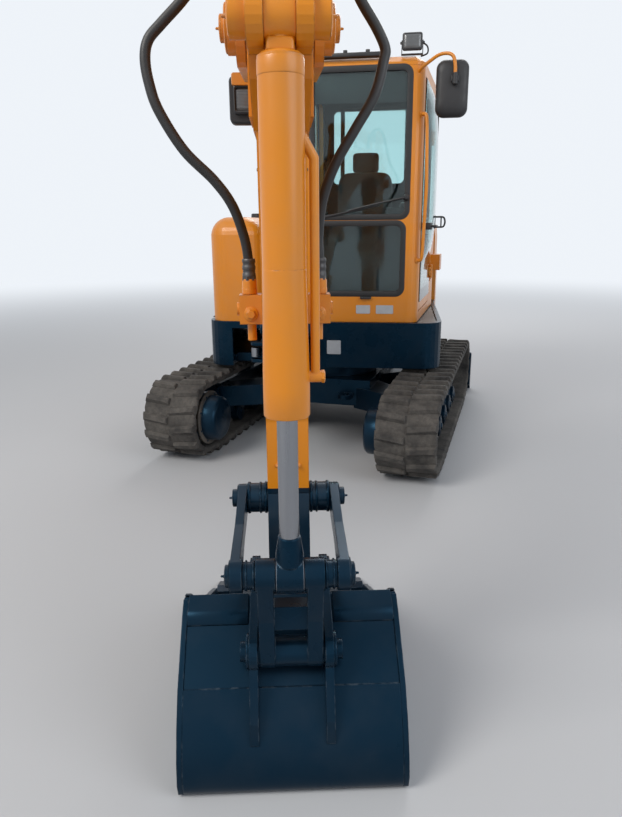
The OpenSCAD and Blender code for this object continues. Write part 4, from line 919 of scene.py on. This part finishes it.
def ram_trim(name, base, p, q, length, r, rod_r, up=1, pipe=True, gland=True):
    """Gland rings, ports, a steel pipe between them and its clamps on a cylinder's tube."""
    p = Vector((0, *p))
    way = (Vector((0, *q)) - p).normalized()
    out = Vector((0, -way.z, way.y)) * up
    across = way.cross(out)
    painted, steel = Shape(base), Shape(base)
    if gland:
        ring = [(0, r + 0.3), (3, r + 5.6), (14, r + 5.6), (16, r + 4)]
        painted.lathe(p + way * (length - 62), way, ring, 40)
    cap = [(0, r + 4.5), (5, r + 4.5), (8, r + 1.5), (8.5, rod_r + 6)]
    painted.lathe(p + way * (length - 6), way, cap, 40)
    steel.lathe(p + way * (length + 1), way, [(0, rod_r + 7), (4, rod_r + 7), (6, rod_r + 1.5)], 32)
    if pipe:
        low, high, clear = 120, length - 22, r + 34
        for d in (low, high):
            painted.lathe(p + way * d + out * (r - 4), out, [(0, 17), (14, 17), (16, 14)], 20)
            steel.lathe(p + way * d + out * (r + 9), out, [(0, 13), (9, 13), (11, 11)], 6)
        line = ((high, r + 16), (high, clear), (high - 60, clear), (low + 70, clear), (low + 40, clear + 12))
        steel.bent([p + way * d + out * h for d, h in line], 22, 7)
        for k in (0.35, 0.7):
            at = p + way * (low + (high - low) * k)
            painted.lathe(at - way * 9, way, [(0, r + 1.5), (1, r + 2.5), (17, r + 2.5), (18, r + 1.5)], 40)
            for e in (-1, 1):
                painted.rod(at + out * (r - 2) + across * e * 9, at + out * (r + 42) + across * e * 9, 5, 10)
            steel.lathe(at + out * (r + 40), out, [(0, 14), (4, 14), (5, 8)], 6)
    painted.done(name + "_ram_gland", name + "_tube", "orange_paint")
    steel.done(name + "_ram_fittings", name + "_tube", "black_metal", "zinc")


def cylinders():
    c, s = turn(72)
    ram_trim("arm", FRONT, ARM_RAM_FOOT, (ARM_PIN[0] + 380 * c, ARM_PIN[1] + 380 * s), 860, 50, 27)
    ram_trim("boom", FRONT, BOOM_RAM_FOOT, BOOM_RAM_EYE, 610, 55, 29, up=-1)
    ram_trim("blade", UNDER, (590, 440), (1310, 330), 430, 40, 24, pipe=False)
    ram_trim("bucket", ARM, BUCKET_RAM_FOOT, BUCKET_RAM_EYE, 859, 51, 26, pipe=False, gland=False)
    # The bucket cylinder's head and neck, its sleeve towards the gland, and the pipe's union
    skin, eye = Shape(ARM), Shape(ARM)
    t, z = BUCKET_RAM_FOOT
    skin.box((-30, 352, 1852), (30, 418, 1912), 7, 3)
    skin.lathe((0, t, 1884), -Z, [(0, 44), (8, 50), (14, 51.9), (40, 51.9), (46, 51.2)], 48)
    sleeve = [(520, 51.2), (560, 51.6), (760, 56.4), (800, 56.9), (869, 56.9), (872, 55), (872.5, 30)]
    skin.lathe((0, t, z), -Z, sleeve, 48)
    skin.lathe((84, t, z - 776), X, [(0, 14), (2, 16), (8, 16), (10, 12)], 6)
    skin.done("bucket_ram_skin", "bucket_tube", "orange_paint")
    eye.lathe((-37.4, *BUCKET_RAM_EYE), X, [(0, 44), (3, 48), (71.8, 48), (74.8, 44)], 40)
    neck = [(0, 38), (12, 37.2), (30, 36.2), (48, 33.5), (66, 30.6), (76, 29.6), (78, 27)]
    eye.lathe((0, t, 680), Z, neck, 40)
    eye.done("bucket_rod_eye", "bucket_rod", "navy_paint")


def pin_end(shape, w, pin, r, way):
    """A pin's end: chamfered face and a grease nipple."""
    shape.lathe((w, *pin), X * way, [(-1, r), (3, r), (5, r - 3), (5, r * 0.5), (3.5, r * 0.45)], 28)
    shape.lathe((w + way * 3, *pin), X * way, [(0, 5), (5, 5), (6, 3.4), (11, 3.4), (13, 1.5)], 12)


def linkage_trim():
    """Pin ends, collars and rings, alike on both sides of the boom, the arm and the bucket's linkage."""
    arm, head, idler, link, bucket = [Shape(ARM) for _ in range(5)]
    boom, post = Shape(FRONT), Shape(FRONT)
    # Pin ends, as [shape, across, pin, radius]
    ends = ((arm, 172, IDLER_PIN, 28), (idler, 166, BUCKET_RAM_EYE, 30), (boom, 153, ARM_PIN, 34),
            (boom, 75, ARM_RAM_FOOT, 24), (head, 107, ARM_TAIL, 24), (head, 107, BUCKET_RAM_FOOT, 24),
            (post, 153, BOOM_FOOT, 34), (post, 88, BOOM_RAM_FOOT, 24))
    # Collars, as [shape, across, pin, facets, profile]
    collars = [(idler, 156, IDLER_PIN, 32, [(0, 42), (3, 42), (5, 38), (5, 29.5)]),
               (idler, 156.5, BUCKET_RAM_EYE, 32, [(0, 42), (3, 42), (4, 38), (4, 30)]),
               (bucket, 118, LINK_PIN, 32, [(0, 50), (6, 50), (9, 46), (9, 29)]),
               (bucket, 118, BUCKET_PIN, 32, [(0, 56), (6, 56), (8, 52), (8, 31), (9.5, 30), (10.5, 24)]),
               (boom, 138, ARM_PIN, 36, [(0, 60), (4, 60), (6, 56), (6, 36)]),
               (post, 138, BOOM_FOOT, 36, [(0, 58), (4, 58), (6, 54), (6, 36)])]
    collars += [(head, 101, pin, 32, [(0, 40), (6, 40), (9, 36)]) for pin in (ARM_TAIL, BUCKET_RAM_FOOT)]
    for a, d in ((66, 10), (84, 8), (118, 11)):
        collars.append((arm, a, IDLER_PIN, 36, [(0, 46), (2, 50), (d - 2, 50), (d, 46)]))
    collars += [(link, a, BUCKET_RAM_EYE, 32, [(0, 37), (1, 40), (5, 40), (6, 37)]) for a in (92, 112)]
    for e in (-1, 1):
        for shape, w, pin, r in ends:
            pin_end(shape, e * w, pin, r, e)
        for shape, w, pin, n, profile in collars:
            shape.lathe((e * w, *pin), X * e, profile, n)
        # Shut-off blocks: plug and bolt; grease points low on the arm
        head.lathe((e * 98, 29, 1285), Y, [(0, 21), (5, 21), (6.5, 19)], 28)
        head.bolt((e * 98, 35, 1285), Y, 24, 11, False)
        head.lathe((e * 33, 37, 822), Y, [(0, 7), (5, 7), (6, 4), (13, 4), (15, 2)], 12)
        post.bolt((e * 139, 176, 852), X * e, 17, 8)
    post.lathe((0, 0, 847), Z, [(0, 50), (5, 50), (8, 44), (10, 20)], 36)
    for a in range(45, 360, 90):
        c, s = turn(a)
        post.bolt((38 * c, 38 * s, 853), Z, 13, 7)
    arm.done("arm_pins", "arm", "navy_paint")
    head.done("arm_fittings", "arm", "orange_paint")
    idler.done("idler_pins", "idler_links", "navy_paint")
    link.done("link_rings", "bucket_link", "navy_paint")
    bucket.done("bucket_pins", "bucket", "navy_paint")
    boom.done("boom_pins", "boom", "orange_paint")
    post.done("post_pins", "swing_post", "navy_paint")


BUCKET_BACK = [(160, 450), (210, 412), (358, 272), (410, 190), (444, 110), (457, 50), (447, 14), (412, 0),
               (-550, 0)]


def moved_out(points, g):
    out = []
    for i, p in enumerate(points):
        a, b = Vector(points[max(i - 1, 0)]), Vector(points[min(i + 1, len(points) - 1)])
        d = (b - a).normalized()
        q = Vector(p) + Vector((-d.y, d.x)) * g
        out.append((q.x, max(q.y, 0.4)))
    return out


def bucket_trim():
    trim, skin = Shape(ARM), Shape(ARM)
    back = [(166, 444)] + BUCKET_BACK[1:8]
    cheek = [(148, 449), (156, 455), (206, 436), (216, 430), (227, 414), (231, 396), (158, 444)]
    for e in (-1, 1):
        outline = moved_out(back, 6) + moved_out(back, -6)[::-1]
        lo, hi = sorted((e * 306, e * 321.5))
        trim.flat(outline, lo, hi, "x")
        # Side plate's rim towards the mouth
        trim.flat([(142, 446), (118, 438), (-66, 302), (-60, 284), (128, 420)], lo, hi, "x")
        lo, hi = sorted((e * 126, e * 305))
        trim.flat(cheek, lo, hi, "x", 1.5)
    trim.done("bucket_trim", "bucket", "navy_paint")
    # Upper plate with its rolled bend, lapped by the rolled belly plate
    upper_line = soft_corners([(160, 450), (210, 412), (362, 268)], 44, 8)
    belly = smooth_line([(356, 276), (410, 190), (444, 110), (457, 50), (447, 14), (414, 1)], 7)
    for line, inside, outside in ((upper_line, -2, 2.2), (belly, -4, 5)):
        line = [tuple(q) for q in line]
        skin.flat(moved_out(line, outside) + moved_out(line, inside)[::-1], -306, 306, "x")
    skin.done("bucket_skin", "bucket", "navy_paint", sharp=28)


# Upper structure

TAIL_R = 1400


def body_trim():
    black, orange, steel, tail = [Shape() for _ in range(4)]
    # Tank cover: lock, filler cap, hinges, seam strip
    black.lathe((-815, -200, 1300), -X, [(0, 22), (3, 22), (5, 18), (5, 9), (3, 8)], 24)
    black.lathe((-650, 380, 1588), Z, [(0, 62), (6, 62), (10, 56), (34, 54), (38, 48)], 36)
    for y in (-330, -30):
        orange.box((-822, y, 1480), (-814, y + 90, 1520), 3)
        orange.rod((-824, y, 1500), (-824, y + 90, 1500), 8, 12, 2)
    black.box((-817, -470, 905), (-813.5, 560, 911))
    # Engine hood: latches, handle, exhaust; lamps on the tail
    for x in (-300, 300):
        black.box((x - 40, 1372 if x < 0 else 1368, 1225), (x + 40, 1400, 1262), 6)
    black.bent([(-70, 1378, 1330), (-70, 1420, 1330), (70, 1420, 1330), (70, 1378, 1330)], 24, 9)
    steel.lathe((420, 1120, 1540), Z, [(0, 40), (8, 40), (10, 34), (60, 34), (60, 29), (30, 29)], 32)
    for x in (-620, 620):
        at = Vector((x, math.sqrt(TAIL_R ** 2 - x * x) - 6, 1050))
        n = Vector((x, at.y, 0)).normalized()
        black.lathe(at, n, [(0, 52), (8, 52), (12, 46), (12, 40)], 32)
        tail.lathe(at + n * 8, n, [(0, 41), (5, 40), (10, 30), (12, 12)], 32)
    # Counterweight: lifting eyes, bolts, towing block
    for x in (-380, 380):
        steel.lathe((x, 1120, 1180), Z, [(0, 34), (6, 34), (8, 22), (22, 20), (24, 8)], 24)
    for x in (-180, 180):
        steel.bolt((x, math.sqrt(TAIL_R ** 2 - x * x) - 3, 900), (x / TAIL_R, 1, 0), 46, 22)
    black.box((-90, 1384, 760), (90, 1401, 830), 8)
    # Cab: ribbed roof hatch, rain strip
    black.box((60, -250, 2538), (420, 250, 2552), 8, 3)
    for y in (-200, 0, 200):
        black.box((90, y - 30, 2550), (390, y + 30, 2560), 5)
    orange.bent([(-178, -440, 2484), (-178, 560, 2484), (-120, 612, 2484)], 60, 7, 8)
    black.done("body_fittings", "upper", "black_plastic")
    orange.done("body_strips", "upper", "orange_paint")
    steel.done("body_bolts", "upper", "black_metal", "zinc")
    tail.done("tail_lamps", "upper", "clear_glass", "red_lens")


DOOR_GLASS = (112.0, 758.0, 1016.0, 2424.0)


def door_bulge(y, z):
    """How far the pane stands off the door's face: fullest ahead of its middle, flat by the side box."""
    y0, y1, z0, z1 = DOOR_GLASS
    crest, foot = 330.0, 1290.0
    a = min(1.0, (crest - y) / (crest - y0) if y < crest else (y - crest) / (y1 - crest))
    b = abs(2 * (z - foot) / (z1 - foot) - 1)
    swell = (1 - b ** 4) ** 0.8 if foot < z < z1 else 0.0
    low = min(1.0, 4 * min(z - z0, z1 - z) / (z1 - z0))
    return 5.5 + (1 - a ** 2.2) ** 0.8 * (54 * swell + 6 * max(low, 0.0))


def door_glass():
    """The door's curved pane, bonded over its frame: it bulges outwards between its straight edges."""
    y0, y1, z0, z1 = DOOR_GLASS
    pane, frit = Shape(DOOR), Shape(DOOR)
    rings = []
    across, up = 22, 30
    for j in range(up + 1):
        z = z0 + (z1 - z0) * j / up
        ys = [y0 + (y1 - y0) * (0.5 - 0.5 * math.cos(math.pi * i / across)) for i in range(across + 1)]
        face = [(door_bulge(y, z), y, z) for y in ys]
        rings.append(face + [(x - 4, y, z) for x, y, z in face[::-1]])
    pane.rings(rings)
    pane.done("door_pane", "cab_door", "clear_glass", sharp=60)
    for a, b, c, d in ((z0, 1520, 1100, 1462), (1520, z1, 1580, 2340)):
        outer, inner = rounded_rect(y0 + 1, y1 - 1, a, b, 4, 8), rounded_rect(150, 722, c, d, 30, 8)
        frit.hoop(outer, inner, 4.5, -0.5, "x", -1)
    frit.done("door_frit", "cab_door", "black_plastic", "seal")


def door_trim():
    black = Shape(DOOR)
    out = door_bulge(220, 1519)
    black.box((0, 150, 1496), (out + 9, 290, 1542), 6)
    pull = [(out, 165, 1519), (out + 40, 165, 1519), (out + 40, 275, 1519), (out, 275, 1519)]
    black.bent(pull, 14, 8, 10, 4)
    black.lathe((out + 9, 180, 1505), X, [(0, 12), (3, 12), (4, 5)], 16)
    black.bent([(-46, 150, 1120), (-80, 150, 1120), (-80, 150, 1420), (-46, 150, 1420)], 20, 10, 10, 4)
    black.done("door_handle", "cab_door", "black_plastic")
    loop = Shape(DOOR)
    root = door_bulge(520, 1546) - 2
    line = [(root, 520, 1582), (118, 520, 1582), (128, 520, 1546), (118, 520, 1511), (root, 520, 1511)]
    loop.bent(line, 16, 6.5, 10, 4)
    loop.tube([(98, 520, 1582), (98, 520, 1511)], 5, 8)
    loop.box((root - 2, 506, 1499), (root + 6, 534, 1594), 3)
    loop.done("door_striker", "cab_door", "black_plastic")
    orange = Shape(DOOR)
    for z in (1180, 2150):
        orange.bolts([(0.5, 870, z - 62), (0.5, 870, z + 62)], X, 13, 6)
        orange.box((-0.5, 856, z - 82), (4, 888, z + 82), 2)
    orange.done("door_hinge_plates", "upper", "orange_paint")
    leaf = Shape(DOOR)
    for z in (1180, 2150):
        leaf.bolts([(15, 752, z - 14), (15, 752, z + 14)], X, 12, 5)
    leaf.done("door_hinge_bolts", "cab_door", "orange_paint")


hubs()
blade_trim()
deck_cover()
boom_pipes()
boom_lamp()
cylinders()
linkage_trim()
bucket_trim()
body_trim()
door_glass()
door_trim()
cab_inside()
seat()
track_rubber_piece()


# Stage and light

SKY = (0.86, 0.9, 0.95)


def seen_directly(tree):
    """1 for what the camera sees straight, in gloss or through glass."""
    path = node(tree, "LightPath")
    seen = times(tree, path.outputs["Is Camera Ray"], path.outputs["Is Glossy Ray"], "MAXIMUM")
    return times(tree, seen, path.outputs["Is Transmission Ray"], "MAXIMUM")


def make_stage():
    bpy.ops.mesh.primitive_plane_add(size=80, location=(0, 0, 0))
    floor = bpy.context.object
    floor.name = "floor"
    mat, tree, shader = blank("floor_grey")
    feed(tree, shader, {"Base Color": (0.5, 0.51, 0.53), "Roughness": 0.9})
    far = node(tree, "VectorMath", {0: place(tree).outputs["Object"]},
               operation="LENGTH").outputs["Value"]
    glow = node(tree, "Emission", {"Color": SKY, "Strength": 1.0})
    away = node(tree, "MapRange", {"Value": far, "From Min": 4.0, "From Max": 17.0},
                interpolation_type="SMOOTHSTEP").outputs[0]
    fade = times(tree, away, seen_directly(tree))
    mix = node(tree, "MixShader", {0: fade, 1: shader.outputs[0], 2: glow.outputs[0]})
    feed(tree, tree.nodes["Material Output"], {"Surface": mix.outputs[0]})
    floor.data.materials.append(mat)
    world = bpy.data.worlds.new("sky")
    bpy.context.scene.world = world
    world.use_nodes = True
    tree = world.node_tree
    back = tree.nodes["Background"]
    feed(tree, back, {"Color": SKY, "Strength": ramp(tree, seen_directly(tree), 0.0, 1.0, 0.42, 1.0)})


def add_lamp(name, place_at, aim, size, power, colour):
    data = bpy.data.lights.new(name, "AREA")
    data.shape, data.size, data.energy, data.color = "DISK", size, power, colour
    lamp = bpy.data.objects.new(name, data)
    bpy.context.scene.collection.objects.link(lamp)
    lamp.location = place_at
    lamp.visible_camera = False
    lamp.rotation_euler = (Vector(aim) - Vector(place_at)).to_track_quat("-Z", "Y").to_euler()


make_stage()
add_lamp("key", (-4.5, -6.5, 7.0), (0.1, -0.6, 1.0), 4.5, 540, (1.0, 0.96, 0.9))
add_lamp("fill", (6.5, -5.0, 4.5), (0.1, 0.0, 1.0), 6.0, 220, (0.92, 0.96, 1.0))
add_lamp("back", (1.0, 8.0, 7.0), (0.0, 0.5, 1.0), 6.0, 420, (1.0, 0.97, 0.94))
bpy.context.scene.view_settings.view_transform = "Standard"
